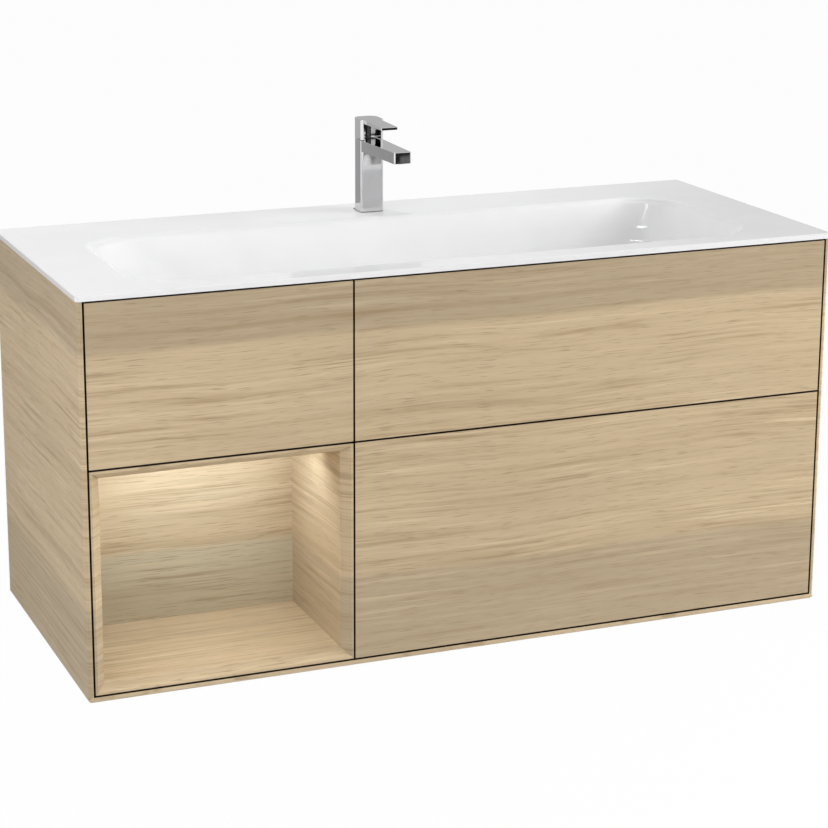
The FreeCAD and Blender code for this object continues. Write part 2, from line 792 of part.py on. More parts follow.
def build_tap():
    """Square column with a straight spout, its cartridge, and a lever that turns and lifts on a stem."""
    half = S.tap_size / 2
    foot = basin_top + S.tap_seal
    top = foot + S.tap_height

    seal_half = half - S.tap_seal_inset
    seal = block("tap_seal_blank", (-seal_half, seal_half), (tap_y - seal_half, tap_y + seal_half),
                 (basin_top, foot))
    seal_bore = rod("tap_seal_bore", seal_half - S.tap_seal_width, "Z", (ZERO, tap_y, basin_top), S.tap_seal)
    keep(cut("tap_base_seal", seal, [seal_bore]), "tap_base_seal")

    body = new_body("tap_column")
    column_plan = rectangle(half, tap_y - half, tap_y + half)
    pad(body, outline(body, "tap_plan", "XY_Plane", column_plan, foot), S.tap_height)
    rounded(body, S.tap_corner, lambda edge: is_upright(edge) and edge.CenterOfMass.y < tap_y.value)
    rounded(body, S.tap_back_corner, lambda edge: is_upright(edge)
            and edge.CenterOfMass.y > (tap_y + half).value - TOUCH)
    spout_half = S.spout_width / 2
    spout_low = top - S.spout_height
    tip_y = tap_y - S.spout_reach
    root_half, root_y = half - S.spout_root_inset, tap_y - half
    spout_plan = [(-spout_half, tip_y), (spout_half, tip_y), (root_half, root_y), (root_half, tap_y),
                  (-root_half, tap_y), (-root_half, root_y)]
    pad(body, outline(body, "spout_plan", "XY_Plane", spout_plan, spout_low), S.spout_height)
    rounded(body, S.spout_round, lambda edge: edge.CenterOfMass.y < (tap_y - half).value - 1)

    aerator_y = tip_y + S.aerator_inset
    aerator_radius = spout_half - S.aerator_wall
    play = S.running_play
    bores = [
        rod("cartridge_bore", S.cartridge_radius + play, "Z", (ZERO, tap_y, top - S.cartridge_length),
            S.cartridge_length),
        rod("aerator_bore", aerator_radius + play, "Z", (ZERO, aerator_y, spout_low), S.aerator_depth),
        rod("stud_bore", S.stud_radius, "Z", (ZERO, tap_y + S.stud_setback, foot), S.stud_seat),
        rod("hot_bore", S.inlet_radius, "Z", (-S.inlet_spread, tap_y - S.inlet_forward, foot), S.inlet_depth),
        rod("cold_bore", S.inlet_radius, "Z", (S.inlet_spread, tap_y - S.inlet_forward, foot), S.inlet_depth),
    ]
    keep(cut("tap_body", body, bores), "tap_body")
    keep(rod("tap_aerator", aerator_radius, "Z", (ZERO, aerator_y, spout_low - S.aerator_proud),
             S.aerator_depth + S.aerator_proud), "tap_aerator")

    socket_z = top - S.stem_depth
    barrel = rod("cartridge_barrel", S.cartridge_radius, "Z", (ZERO, tap_y, top - S.cartridge_length),
                 S.cartridge_length)
    socket = rod("cartridge_socket", S.stem_radius + play, "Z", (ZERO, tap_y, socket_z), S.stem_depth)
    keep(cut("tap_cartridge", barrel, [socket]), "tap_cartridge")

    build_lever(half, top, socket_z)

    stud_y = tap_y + S.stud_setback
    stud_z = foot + S.stud_seat - S.stud_length
    stud = rod("tap_stud", S.stud_radius, "Z", (ZERO, stud_y, stud_z), S.stud_length)
    clamp_z = S.cabinet_height - S.clamp_thickness
    disc = rod("clamp_disc", S.clamp_radius, "Z", (ZERO, tap_y, clamp_z), S.clamp_thickness)
    open_side = block("clamp_open_side", (-S.clamp_radius, S.clamp_radius),
                      (tap_y - S.clamp_radius, tap_y + S.clamp_inset), (clamp_z, S.cabinet_height))
    clamp_hole = rod("clamp_hole", S.stud_radius + play, "Z", (ZERO, stud_y, clamp_z), S.clamp_thickness)
    nut_z = clamp_z - S.stud_nut_height
    nut = rod("nut_blank", S.stud_nut_radius, "Z", (ZERO, stud_y, nut_z), S.stud_nut_height)
    nut_hole = rod("nut_hole", S.stud_radius + play, "Z", (ZERO, stud_y, nut_z), S.stud_nut_height)
    group("tap_fixing_set", [
        stud,
        cut("tap_clamp", disc, [open_side, clamp_hole]),
        cut("tap_nut", nut, [nut_hole]),
    ])


def build_lever(half, top, socket_z):
    """The lever's cap with an arched opening under a thin blade, and the stem and pin that carry it."""
    low = top + S.lever_gap
    high = low + S.lever_height
    back_y, face_y = tap_y + half, tap_y - half
    tip_y = tap_y - S.lever_reach
    tip_top = high - S.lever_drop
    body = new_body("lever_cap")
    pad(body, outline(body, "lever_plan", "XY_Plane", rectangle(half, face_y, back_y), low), S.lever_height)
    rounded(body, S.tap_corner, lambda edge: is_upright(edge) and edge.CenterOfMass.y < tap_y.value)
    rounded(body, S.tap_back_corner, lambda edge: is_upright(edge)
            and edge.CenterOfMass.y > back_y.value - TOUCH)
    blade_half = S.lever_blade_width / 2
    blade_low = high - S.lever_root_thickness
    blade = outline(body, "lever_blade", "YZ_Plane", [
        (face_y + S.tap_corner, blade_low),
        (face_y + S.tap_corner, high),
        (tip_y, high),
        (tip_y, tip_top - S.lever_tip_thickness),
        (face_y, blade_low),
    ], -blade_half)
    pad(body, blade, S.lever_blade_width)
    slope = prism("lever_slope", "YZ_Plane", [
        (back_y, high),
        (tip_y, high),
        (tip_y, tip_top),
    ], -half, S.tap_size)
    heel = prism("lever_heel", "YZ_Plane", [
        (back_y, low),
        (back_y, low + S.lever_heel_bevel),
        (back_y - S.lever_heel_bevel, low),
    ], -half, S.tap_size)

    arch_y = back_y - S.lever_back_wall
    arch_radius = half - S.lever_side_wall
    arch_z = high - S.lever_roof - arch_radius
    door = block("lever_arch_door", (-arch_radius, arch_radius), (face_y, arch_y), (low, arch_z))
    crown = rod("lever_arch_crown", arch_radius, "Y", (ZERO, face_y, arch_z), arch_y - face_y)

    pivot_y, pivot_z = back_y - S.pivot_inset, high - S.pivot_drop
    reach = half - S.pivot_cover
    pin_hole = rod("lever_pin_hole", S.pivot_radius + S.running_play, "X",
                   (-reach - S.rail_play, pivot_y, pivot_z), (reach + S.rail_play) * 2)
    keep(cut("tap_lever", body, [slope, heel, door, crown, pin_hole]), "tap_lever")

    arm_half = S.pivot_arm_width / 2
    arm_low = pivot_z - S.pivot_arm_height / 2
    arm_high = pivot_z + S.pivot_arm_height / 2
    stem = rod("lever_stem", S.stem_radius, "Z", (ZERO, tap_y, socket_z), arm_high - socket_z)
    arm = block("lever_arm", (-arm_half, arm_half), (tap_y, pivot_y + S.pivot_radius), (arm_low, arm_high))
    pin = rod("lever_pin", S.pivot_radius, "X", (-reach, pivot_y, pivot_z), reach * 2)
    keep(joined("tap_stem", [stem, arm, pin]), "tap_stem")


def build_waste():
    """Push-open waste in the drain seat, its nut under the bowl, and the rising plug in its guide."""
    flange_top = S.flange_thickness
    end = S.flange_thickness - S.waste_length
    tube = turned("waste_tube", [
        (waste_bore, end),
        (waste_radius, end),
        (waste_radius, ZERO),
        (S.flange_radius, ZERO),
        (S.flange_radius, flange_top),
        (waste_bore, flange_top),
    ], ZERO, drain_y, drain_seat)
    guide_z = drain_seat - S.guide_drop
    bar_half = S.guide_bar / 2
    bar_end = waste_bore + S.waste_wall / 2
    bar = block("waste_guide_bar", (-bar_end, bar_end),
                (drain_y - bar_half, drain_y + bar_half), (guide_z, guide_z + S.guide_height))
    bar_hole = rod("waste_guide_hole", S.guide_radius + S.running_play, "Z", (ZERO, drain_y, guide_z),
                   S.guide_height)
    guide = cut("waste_guide", bar, [bar_hole])
    keep(joined("waste_body", [tube, guide]), "waste_body")

    keep(turned("waste_plug", [
        (ZERO, -S.plug_stem_length),
        (S.guide_radius, -S.plug_stem_length),
        (S.guide_radius, ZERO),
        (S.plug_radius, ZERO),
        (S.plug_radius, S.plug_edge),
        (S.plug_radius / 2, S.plug_edge + S.plug_crown),
        (ZERO, S.plug_edge + S.plug_crown),
    ], ZERO, drain_y, drain_seat + flange_top), "waste_plug")

    nut_bore, nut_radius = waste_radius + S.running_play, waste_radius + S.waste_nut_wall
    keep(turned("waste_nut", [
        (nut_bore, -S.waste_nut_height),
        (nut_radius, -S.waste_nut_height),
        (nut_radius, ZERO),
        (nut_bore, ZERO),
    ], ZERO, drain_y, bowl_underside), "waste_nut")


def coupling(sleeve_radius):
    """A coupling nut about the Z axis: wide over a sleeve, narrow over the pipe that enters it."""
    half = S.coupling_height / 2
    outer = sleeve_radius + S.coupling_wall
    narrow, wide = S.pipe_radius + S.running_play, sleeve_radius + S.running_play
    return [(narrow, -half), (outer, -half), (outer, half), (wide, half), (wide, ZERO), (narrow, ZERO)]


def build_trap():
    """Bottle trap: dip pipe from the waste, body with a side stub, screwed cup and outlet to the wall."""
    radius, wall = S.trap_radius, S.trap_wall
    bore = S.pipe_radius + S.running_play
    outlet_z = trap_joint + S.trap_outlet_rise
    shell = turned("trap_shell", [
        (bore, trap_top - wall),
        (bore, trap_top),
        (radius, trap_top),
        (radius, trap_joint),
        (radius - wall, trap_joint),
        (radius - wall, trap_top - wall),
    ], ZERO, drain_y, ZERO)
    stub_radius = S.pipe_radius + wall
    stub_start = (ZERO, drain_y, outlet_z)
    stub = rod("trap_stub", stub_radius, "Y", stub_start, S.outlet_stub)
    chamber_low = outlet_z - stub_radius
    chamber = rod("trap_chamber", radius - wall, "Z", (ZERO, drain_y, chamber_low), stub_radius * 2)
    stub_bore = rod("trap_stub_bore", bore, "Y", stub_start, S.outlet_stub)
    keep(cut("trap_body", joined("trap_body_blank", [shell, stub]), [chamber, stub_bore]), "trap_body")

    collar_outer, collar_top = radius + S.cup_collar_wall, trap_joint + S.cup_collar
    keep(turned("trap_cup", [
        (ZERO, cup_low),
        (collar_outer, cup_low),
        (collar_outer, collar_top),
        (radius + S.running_play, collar_top),
        (radius + S.running_play, trap_joint),
        (radius - wall, trap_joint),
        (radius - wall, cup_low + wall),
        (ZERO, cup_low + wall),
    ], ZERO, drain_y, ZERO), "trap_cup")

    pipe_bore = S.pipe_radius - S.pipe_wall
    dip_start = (ZERO, drain_y, cup_low + S.dip_gap)
    dip_length = waste_end + S.pipe_overlap - dip_start[2]
    dip = rod("dip_blank", S.pipe_radius, "Z", dip_start, dip_length)
    dip_bore = rod("dip_bore", pipe_bore, "Z", dip_start, dip_length)
    keep(cut("trap_inlet_pipe", dip, [dip_bore]), "trap_inlet_pipe")

    stub_end = drain_y + S.outlet_stub
    nut_end = stub_end + S.coupling_height / 2
    outlet_start = (ZERO, stub_end - S.pipe_overlap, outlet_z)
    outlet = joined("outlet_blank", [
        rod("outlet_spigot", S.pipe_radius - S.spigot_step, "Y", outlet_start, nut_end - outlet_start[1]),
        rod("outlet_tube", S.pipe_radius, "Y", (ZERO, nut_end, outlet_z), -nut_end),
    ])
    keep(cut("trap_outlet_pipe", outlet, [rod("outlet_bore", pipe_bore, "Y", outlet_start, -outlet_start[1])]),
         "trap_outlet_pipe")

    inlet_nut = turned("trap_inlet_nut", coupling(waste_radius), ZERO, drain_y, waste_end)
    outlet_nut = turned("trap_outlet_nut", coupling(stub_radius), ZERO, stub_end, outlet_z)
    lay_back = FreeCAD.Rotation(FreeCAD.Vector(1, 0, 0), 90)
    outlet_nut.Placement = FreeCAD.Placement(outlet_nut.Placement.Base, lay_back)
    group("trap_nuts", [inlet_nut, outlet_nut])


def build_hangers():
    """Two wall plates with an upturned lip, and the hanger on each side panel that hooks over it."""
    plates, hangers = [], []
    lip_z = hang_height + S.plate_lip_rise
    plate_face = -S.plate_thickness
    lip_face = plate_face - S.plate_lip_reach
    upstand_top = lip_z + S.plate_upstand
    for side, sign in (("left", -1), ("right", 1)):
        centre = sign * (inner_half - S.plate_inset)
        x = (centre - S.plate_width / 2, centre + S.plate_width / 2)
        plate_low = hang_height - S.plate_height / 2
        sheet_metal = joined(f"{side}_plate_blank", [
            block(f"{side}_plate_back", x, (plate_face, ZERO), (plate_low, plate_low + S.plate_height)),
            block(f"{side}_plate_lip", x, (lip_face, plate_face), (lip_z, lip_z + S.plate_thickness)),
            block(f"{side}_plate_upstand", x, (lip_face, lip_face + S.plate_thickness), (lip_z, upstand_top)),
        ])
        holes = [rod(f"{side}_plate_hole_{word}", S.plate_hole_radius, "Y",
                     (centre, plate_face, hang_height + step * S.plate_hole_spacing / 2), S.plate_thickness)
                 for word, step in (("low", -1), ("high", 1))]
        plates.append(cut(f"{side}_wall_plate", sheet_metal, holes))

        hook_x = (centre - S.hook_width / 2, centre + S.hook_width / 2)
        hook_z = (upstand_top, upstand_top + S.hook_height)
        tip_y = (lip_face + S.plate_thickness + S.hook_play, plate_face - S.hook_play)
        box_end = centre - sign * (S.plate_width / 2 - S.hanger_inset)
        box_x = (box_end, inner_half) if sign > 0 else (-inner_half, box_end)
        box_z = (hook_z[1] - S.hanger_height, hook_z[1])
        hangers.append(joined(f"{side}_hanger", [
            block(f"{side}_hanger_box", box_x, (rail_front_y - S.hanger_depth, rail_front_y), box_z),
            block(f"{side}_hook_arm", hook_x, (rail_front_y, tip_y[1]), hook_z),
            block(f"{side}_hook_tip", hook_x, tip_y, (lip_z + S.plate_thickness + S.hook_play, hook_z[0])),
        ]))
    group("wall_plates", plates)
    group("cabinet_hangers", hangers)


def write_parts():
    """Checks every object and shape, then writes one file for each sub-part."""
    doc.recompute()
    for item in doc.Objects:
        if "Invalid" in item.State or "Error" in item.State:
            raise RuntimeError(f"{item.Label} failed: {item.State}")
    os.makedirs("parts", exist_ok=True)
    for item in subparts:
        if item.Shape.isNull() or not item.Shape.isValid() or not item.Shape.Solids:
            raise RuntimeError(f"{item.Label} has no valid solid")
    for item in subparts:
        item.Shape.exportStep(f"parts/{item.Label}.step")
        print(f"{item.Label}: {len(item.Shape.Solids)} solids, {item.Shape.Volume / 1000:.1f} cm3")


build_carcass()
build_niche()
build_drawers()
build_washbasin()
build_tap()
build_waste()
build_trap()
build_hangers()
write_parts()
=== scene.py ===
"""Looks of a wall-hung oak vanity unit with a ceramic washbasin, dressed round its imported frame."""
import logging
import math
from abc import ABC, abstractmethod
from dataclasses import dataclass, field
from enum import Enum
from functools import cached_property
from typing import Union

import bpy
import numpy as np
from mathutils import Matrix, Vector


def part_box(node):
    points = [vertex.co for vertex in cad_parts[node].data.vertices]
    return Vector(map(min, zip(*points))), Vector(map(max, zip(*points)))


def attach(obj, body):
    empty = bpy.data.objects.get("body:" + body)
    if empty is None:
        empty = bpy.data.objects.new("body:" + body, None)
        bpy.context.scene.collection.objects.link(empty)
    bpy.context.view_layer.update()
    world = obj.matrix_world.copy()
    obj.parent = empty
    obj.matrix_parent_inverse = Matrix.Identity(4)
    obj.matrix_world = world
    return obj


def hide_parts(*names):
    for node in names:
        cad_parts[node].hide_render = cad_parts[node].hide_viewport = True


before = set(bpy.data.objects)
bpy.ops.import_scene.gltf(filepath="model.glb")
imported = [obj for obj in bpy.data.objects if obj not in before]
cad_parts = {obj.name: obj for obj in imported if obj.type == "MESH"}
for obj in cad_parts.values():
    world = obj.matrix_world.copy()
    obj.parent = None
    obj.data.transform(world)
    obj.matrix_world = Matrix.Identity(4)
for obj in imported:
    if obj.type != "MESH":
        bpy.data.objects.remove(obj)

LOG = logging.getLogger("vanity_unit")
HANG_MM = 535.0
HANG_M = 0.001 * HANG_MM
SOFT_DEG = 40.0
DRAIN_Y = -255.0
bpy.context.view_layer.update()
Triple = tuple[float, float, float]
Pair = tuple[float, float]
Colour = Triple
Socket = bpy.types.NodeSocket
Value = Union[Socket, float, Triple]


# Shapes: sizes are in millimetres, with heights counted from the underside of the cabinet.

def to_row(points: np.ndarray) -> np.ndarray:
    """Millimetres above the cabinet's underside as metres in the frame of the wall screws."""
    return (np.asarray(points, float) - (0.0, 0.0, HANG_MM)) * 0.001


def cabinet_box(node: str) -> tuple[np.ndarray, ...]:
    """Lowest and highest corner of a frame node in millimetres above the cabinet's underside."""
    return tuple(np.array(corner) * 1000.0 + (0.0, 0.0, HANG_MM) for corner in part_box(node))


def rounded_loops(half_x: np.ndarray, half_y: np.ndarray, radii: np.ndarray, per_corner: int,
                  per_side: int) -> np.ndarray:
    """Rounded rectangles about the origin, one for each entry, all with the same count of points.

    A corner is centre + radius * (cos a, sin a) with a running over its quarter turn, and a side is the
    straight blend from one corner's last point to the next corner's first.

    Args:
        half_x: Half widths, one for each loop.
        half_y: Half depths, one for each loop.
        radii: Corner radii, shaped (loops, 4), counter-clockwise from the +x +y corner.
        per_corner: Points on each corner.
        per_side: Points between two corners.

    Returns:
        Array shaped (loops, 4 * (per_corner + per_side), 2).
    """
    signs = np.array([(1, 1), (-1, 1), (-1, -1), (1, -1)], float)
    turn = np.linspace(0.0, math.pi / 2, per_corner)[None, :] + np.arange(4)[:, None] * math.pi / 2
    arc = np.stack([np.cos(turn), np.sin(turn)], -1)
    half = np.stack([half_x, half_y], -1)
    centres = signs[None] * (half[:, None, :] - radii[..., None])
    corners = centres[:, :, None, :] + radii[..., None, None] * arc[None]
    share = np.linspace(0.0, 1.0, per_side + 2)[1:-1][None, None, :, None]
    first, last = np.roll(corners[:, :, 0], -1, axis=1), corners[:, :, -1]
    sides = last[:, :, None, :] * (1 - share) + first[:, :, None, :] * share
    return np.concatenate([corners, sides], axis=2).reshape(len(half_x), -1, 2)


def turned_loops(profile: np.ndarray, segments: int, ribs: int = 0, rib_depth: float = 0.0,
                 ribbed: np.ndarray | None = None) -> np.ndarray:
    """A profile of radius and height carried round the Z axis: (r cos a, r sin a, z).

    A ribbed ring has its radius lowered by rib_depth * (1 - |cos(ribs * a / 2)|), which leaves rounded ribs.

    Args:
        profile: Array of (radius, height) pairs.
        segments: Points round each ring.
        ribs: Count of ribs round the ribbed rings.
        rib_depth: Depth of the valleys between the ribs.
        ribbed: Share of the rib depth on each ring, from 0 to 1.

    Returns:
        Array shaped (rings, segments, 3).
    """
    angle = np.linspace(0.0, 2 * math.pi, segments, endpoint=False)
    radius = np.repeat(profile[:, :1], segments, axis=1)
    if ribbed is not None:
        radius = radius - ribbed[:, None] * rib_depth * (1 - np.abs(np.cos(ribs * angle / 2)))[None]
    height = np.repeat(profile[:, 1:], segments, axis=1)
    return np.stack([radius * np.cos(angle), radius * np.sin(angle), height], -1)


def inset_rings(rim: np.ndarray, shrink: np.ndarray) -> np.ndarray:
    """Copies of an outline moved inwards along its normals.

    The normal at a point is square to the line between its two neighbours.

    Args:
        rim: Counter-clockwise outline, shaped (points, 2).
        shrink: How far each copy is moved.

    Returns:
        Array shaped (copies, points, 2).
    """
    along = np.roll(rim, -1, axis=0) - np.roll(rim, 1, axis=0)
    along /= np.linalg.norm(along, axis=1, keepdims=True)
    inward = np.stack([-along[:, 1], along[:, 0]], -1)
    return rim[None] + inward[None] * shrink[:, None, None]


def raised(plan: np.ndarray, height: np.ndarray) -> np.ndarray:
    """Plan outlines lifted to a height for each ring, or for each point.

    Args:
        plan: Outlines, shaped (rings, points, 2).
        height: Heights, shaped (rings,) or (rings, points).

    Returns:
        Array shaped (rings, points, 3).
    """
    level = height if height.ndim == 2 else height[:, None]
    return np.concatenate([plan, np.broadcast_to(level, plan.shape[:2])[..., None]], -1)


def lofted_faces(rings: int, count: int, wrap: bool) -> np.ndarray:
    """Four-cornered faces between neighbouring closed rings, as whole index arrays.

    Args:
        rings: Number of rings.
        count: Points on each ring.
        wrap: Whether the last ring joins the first.

    Returns:
        Array shaped (faces, 4) of point indices.
    """
    row = np.arange(rings if wrap else rings - 1)[:, None]
    column = np.arange(count)[None, :]
    after, beside = (row + 1) % rings, (column + 1) % count
    quads = np.stack(np.broadcast_arrays(row * count + column, row * count + beside,
                                         after * count + beside, after * count + column), -1)
    return quads.reshape(-1, 4)


@dataclass
class Surface:
    """Closed shells gathered into one mesh object."""

    name: str
    smooth_deg: float = 35.0
    points: list[np.ndarray] = field(default_factory=list)
    faces: list[list[int]] = field(default_factory=list)

    def loft(self, loops: np.ndarray, wrap: bool = False) -> "Surface":
        """Adds a shell through closed rings, capped at both ends unless it wraps round.

        Its outside is found from the signed volume, the sum of a . (b x c) / 6 over its triangles.

        Args:
            loops: Array shaped (rings, points, 3) in millimetres.
            wrap: Whether the last ring joins the first, as on a tube with a wall.

        Returns:
            This surface.
        """
        rings, count = loops.shape[:2]
        offset = sum(len(block) for block in self.points)
        flat = loops.reshape(-1, 3)
        quads = lofted_faces(rings, count, wrap)
        centre = flat.mean(0)
        a, b, c, d = (flat[quads[:, k]] - centre for k in range(4))
        volume = np.einsum("ij,ij->", a, np.cross(b, c)) + np.einsum("ij,ij->", a, np.cross(c, d))
        made = (quads + offset).tolist()
        if not wrap:
            made.append((np.arange(count)[::-1] + offset).tolist())
            made.append((np.arange(count) + offset + (rings - 1) * count).tolist())
        if volume < 0:
            made = [face[::-1] for face in made]
        self.points.append(flat)
        self.faces.extend(made)
        return self

    def build(self, finish: "Finish", body: str, slot: str, *nodes: str) -> None:
        """Makes the object, shades it, and ties it to its body in the frame.

        Args:
            finish: Finish of the whole surface.
            body: Frame body that it moves with.
            slot: Material slot of the record; not used.
            *nodes: Frame nodes that it stands for.
        """
        mesh = bpy.data.meshes.new(self.name)
        mesh.from_pydata(to_row(np.concatenate(self.points)).tolist(), [], self.faces)
        mesh.polygons.foreach_set("use_smooth", np.ones(len(mesh.polygons), bool))
        mesh.set_sharp_from_angle(angle=math.radians(self.smooth_deg))
        mesh.materials.append(finish.material)
        mesh.update()
        piece = bpy.data.objects.new(self.name, mesh)
        bpy.context.scene.collection.objects.link(piece)
        level = piece.modifiers.new("flat_faces", "WEIGHTED_NORMAL")
        level.keep_sharp = True
        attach(piece, body)
        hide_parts(*nodes)
        LOG.info("%s: %d points, %d faces, on %s", self.name, len(mesh.vertices), len(mesh.polygons), body)


def arc_steps(start_deg: float, end_deg: float, count: int) -> np.ndarray:
    """Angles in radians from start to end, both included."""
    return np.radians(np.linspace(start_deg, end_deg, count))


# Finishes

def srgb(red: int, green: int, blue: int) -> Colour:
    """A display colour from 0 to 255 as linear values."""
    share = np.array([red, green, blue]) / 255.0
    linear = np.where(share <= 0.04045, share / 12.92, ((share + 0.055) / 1.055) ** 2.4)
    return tuple(float(value) for value in linear)


class Graph:
    """Nodes of a material or of the world, added one after another and linked as they are made."""

    def __init__(self, tree: bpy.types.NodeTree) -> None:
        """Starts on a tree, with the nodes that it has.

        Args:
            tree: The tree.
        """
        self.nodes, self.links = tree.nodes, tree.links

    def feed(self, socket: Socket, value: Value) -> None:
        """Links a socket, or sets its constant.

        Args:
            socket: Input to feed.
            value: Output socket, number or colour.
        """
        if isinstance(value, bpy.types.NodeSocket):
            self.links.new(value, socket)
        elif isinstance(value, tuple):
            socket.default_value = (*value, 1.0) if len(socket.default_value) == 4 else value
        else:
            socket.default_value = value

    def add(self, kind: str, *values: Value, **settings: str) -> bpy.types.Node:
        """Adds a node with its settings, and feeds its first inputs.

        Args:
            kind: Kind of the node, without the words that all kinds share.
            *values: What its first inputs get.
            **settings: Its own settings.

        Returns:
            The node.
        """
        node = self.nodes.new(f"ShaderNode{kind}")
        for name, setting in settings.items():
            setattr(node, name, setting)
        for socket, value in zip(node.inputs, values):
            self.feed(socket, value)
        return node

    def sum(self, kind: str, *values: Value) -> Socket:
        """One arithmetic step of a kind on one, two or three values."""
        return self.add("Math", *values, operation=kind).outputs[0]

    def swing(self, value: Socket, reach: float) -> Socket:
        """A value from 0 to 1, moved to lie about 0 and scaled to a reach."""
        return self.sum("MULTIPLY", self.sum("SUBTRACT", value, 0.5), reach)

    def near(self, value: Socket, centre: float, reach: float) -> Socket:
        """1 where a value lies within reach of a centre, and 0 elsewhere."""
        return self.sum("COMPARE", value, centre, reach)

    def ramp(self, value: Socket, low: float, high: float, start: float = 0.0, end: float = 1.0) -> Socket:
        """A smooth step from start, where the value is low, to end, where it is high."""
        return self.add("MapRange", value, low, high, start, end, interpolation_type="SMOOTHSTEP").outputs[0]

    def cover(self, value: Socket, step: Triple) -> Socket:
        """A smooth step from 0: the value where it starts, the value where it ends, and what it reaches."""
        low, high, most = step
        return self.ramp(value, low, high, 0.0, most)

    def joined(self, x: Socket, y: Socket, z: Socket) -> Socket:
        """Three values as one vector."""
        return self.add("CombineXYZ", x, y, z).outputs[0]

    def noise(self, place: Socket, stretch: Triple, detail: float = 2.0, rough: float = 0.5) -> Socket:
        """Cloud noise on a stretched place.

        Args:
            place: Vector to read at.
            stretch: Features per metre along each axis.
            detail: Octaves.
            rough: Weight of the finer octaves.

        Returns:
            Value from 0 to 1.
        """
        scaled = self.add("VectorMath", place, stretch, operation="MULTIPLY")
        node = self.add("TexNoise", scaled.outputs[0])
        for name, number in (("Scale", 1.0), ("Detail", detail), ("Roughness", rough)):
            node.inputs[name].default_value = number
        return node.outputs[0]

    def mix(self, share: Value, first: Value, second: Value) -> Socket:
        """A colour between two.

        Args:
            share: Share of the second colour.
            first: Colour at 0.
            second: Colour at 1.

        Returns:
            The mixed colour.
        """
        node = self.add("Mix", share, data_type="RGBA")
        self.feed(node.inputs[6], first)
        self.feed(node.inputs[7], second)
        return node.outputs[2]


class MaterialGraph(Graph):
    """Nodes of a new material with one principled shader."""

    tint_span: Pair = (0.35, 0.7)
    rough_span: Pair = (0.3, 0.7)

    def __init__(self, name: str) -> None:
        """Starts the material.

        Args:
            name: Name of the material.
        """
        self.material = bpy.data.materials.new(name)
        self.material.use_nodes = True
        super().__init__(self.material.node_tree)
        self.shader = self.nodes["Principled BSDF"]
        self.object_place = self.add("TexCoord").outputs["Object"]

    def put(self, **inputs: Value) -> None:
        """Feeds the shader's inputs, whose names are written with underscores for spaces."""
        for name, value in inputs.items():
            self.feed(self.shader.inputs[name.replace("_", " ")], value)

    def axes(self) -> tuple[Socket, ...]:
        """The object's x, y and z."""
        return tuple(self.add("SeparateXYZ", self.object_place).outputs)

    def tinted(self, value: Socket, first: Colour, second: Colour) -> Socket:
        """A colour that goes from one to another over the range of a noise."""
        return self.mix(self.ramp(value, *self.tint_span), first, second)

    def roughness(self, value: Socket, ends: Pair) -> Socket:
        """A roughness that goes from one end to the other over the range of a noise."""
        return self.ramp(value, *self.rough_span, *ends)

    def bump(self, height: Socket, depth: float, strength: float) -> None:
        """Raises the surface by a height.

        Args:
            height: Height from 0 to 1.
            depth: Metres at height 1.
            strength: Share of the effect.
        """
        node = self.add("Bump", strength, depth)
        self.feed(node.inputs["Height"], height)
        self.feed(self.shader.inputs["Normal"], node.outputs[0])


@dataclass(frozen=True)
class Recipe(ABC):
    """How a finish is made."""

    name: str

    @abstractmethod
    def paint(self, graph: MaterialGraph) -> None:
        """Adds the finish's own nodes.

        Args:
            graph: Nodes of its new material.
        """

    def material(self) -> bpy.types.Material:
        """Builds the finish.

        Returns:
            The material.
        """
        graph = MaterialGraph(self.name)
        self.paint(graph)
        return graph.material


class Grain(Enum):
    """Which way a board's grain runs, and across what."""

    WIDE_UPRIGHT = (0, 2, 1)
    DEEP_UPRIGHT = (1, 2, 0)
    WIDE_FLAT = (0, 1, 2)
    DEEP_FLAT = (1, 0, 2)


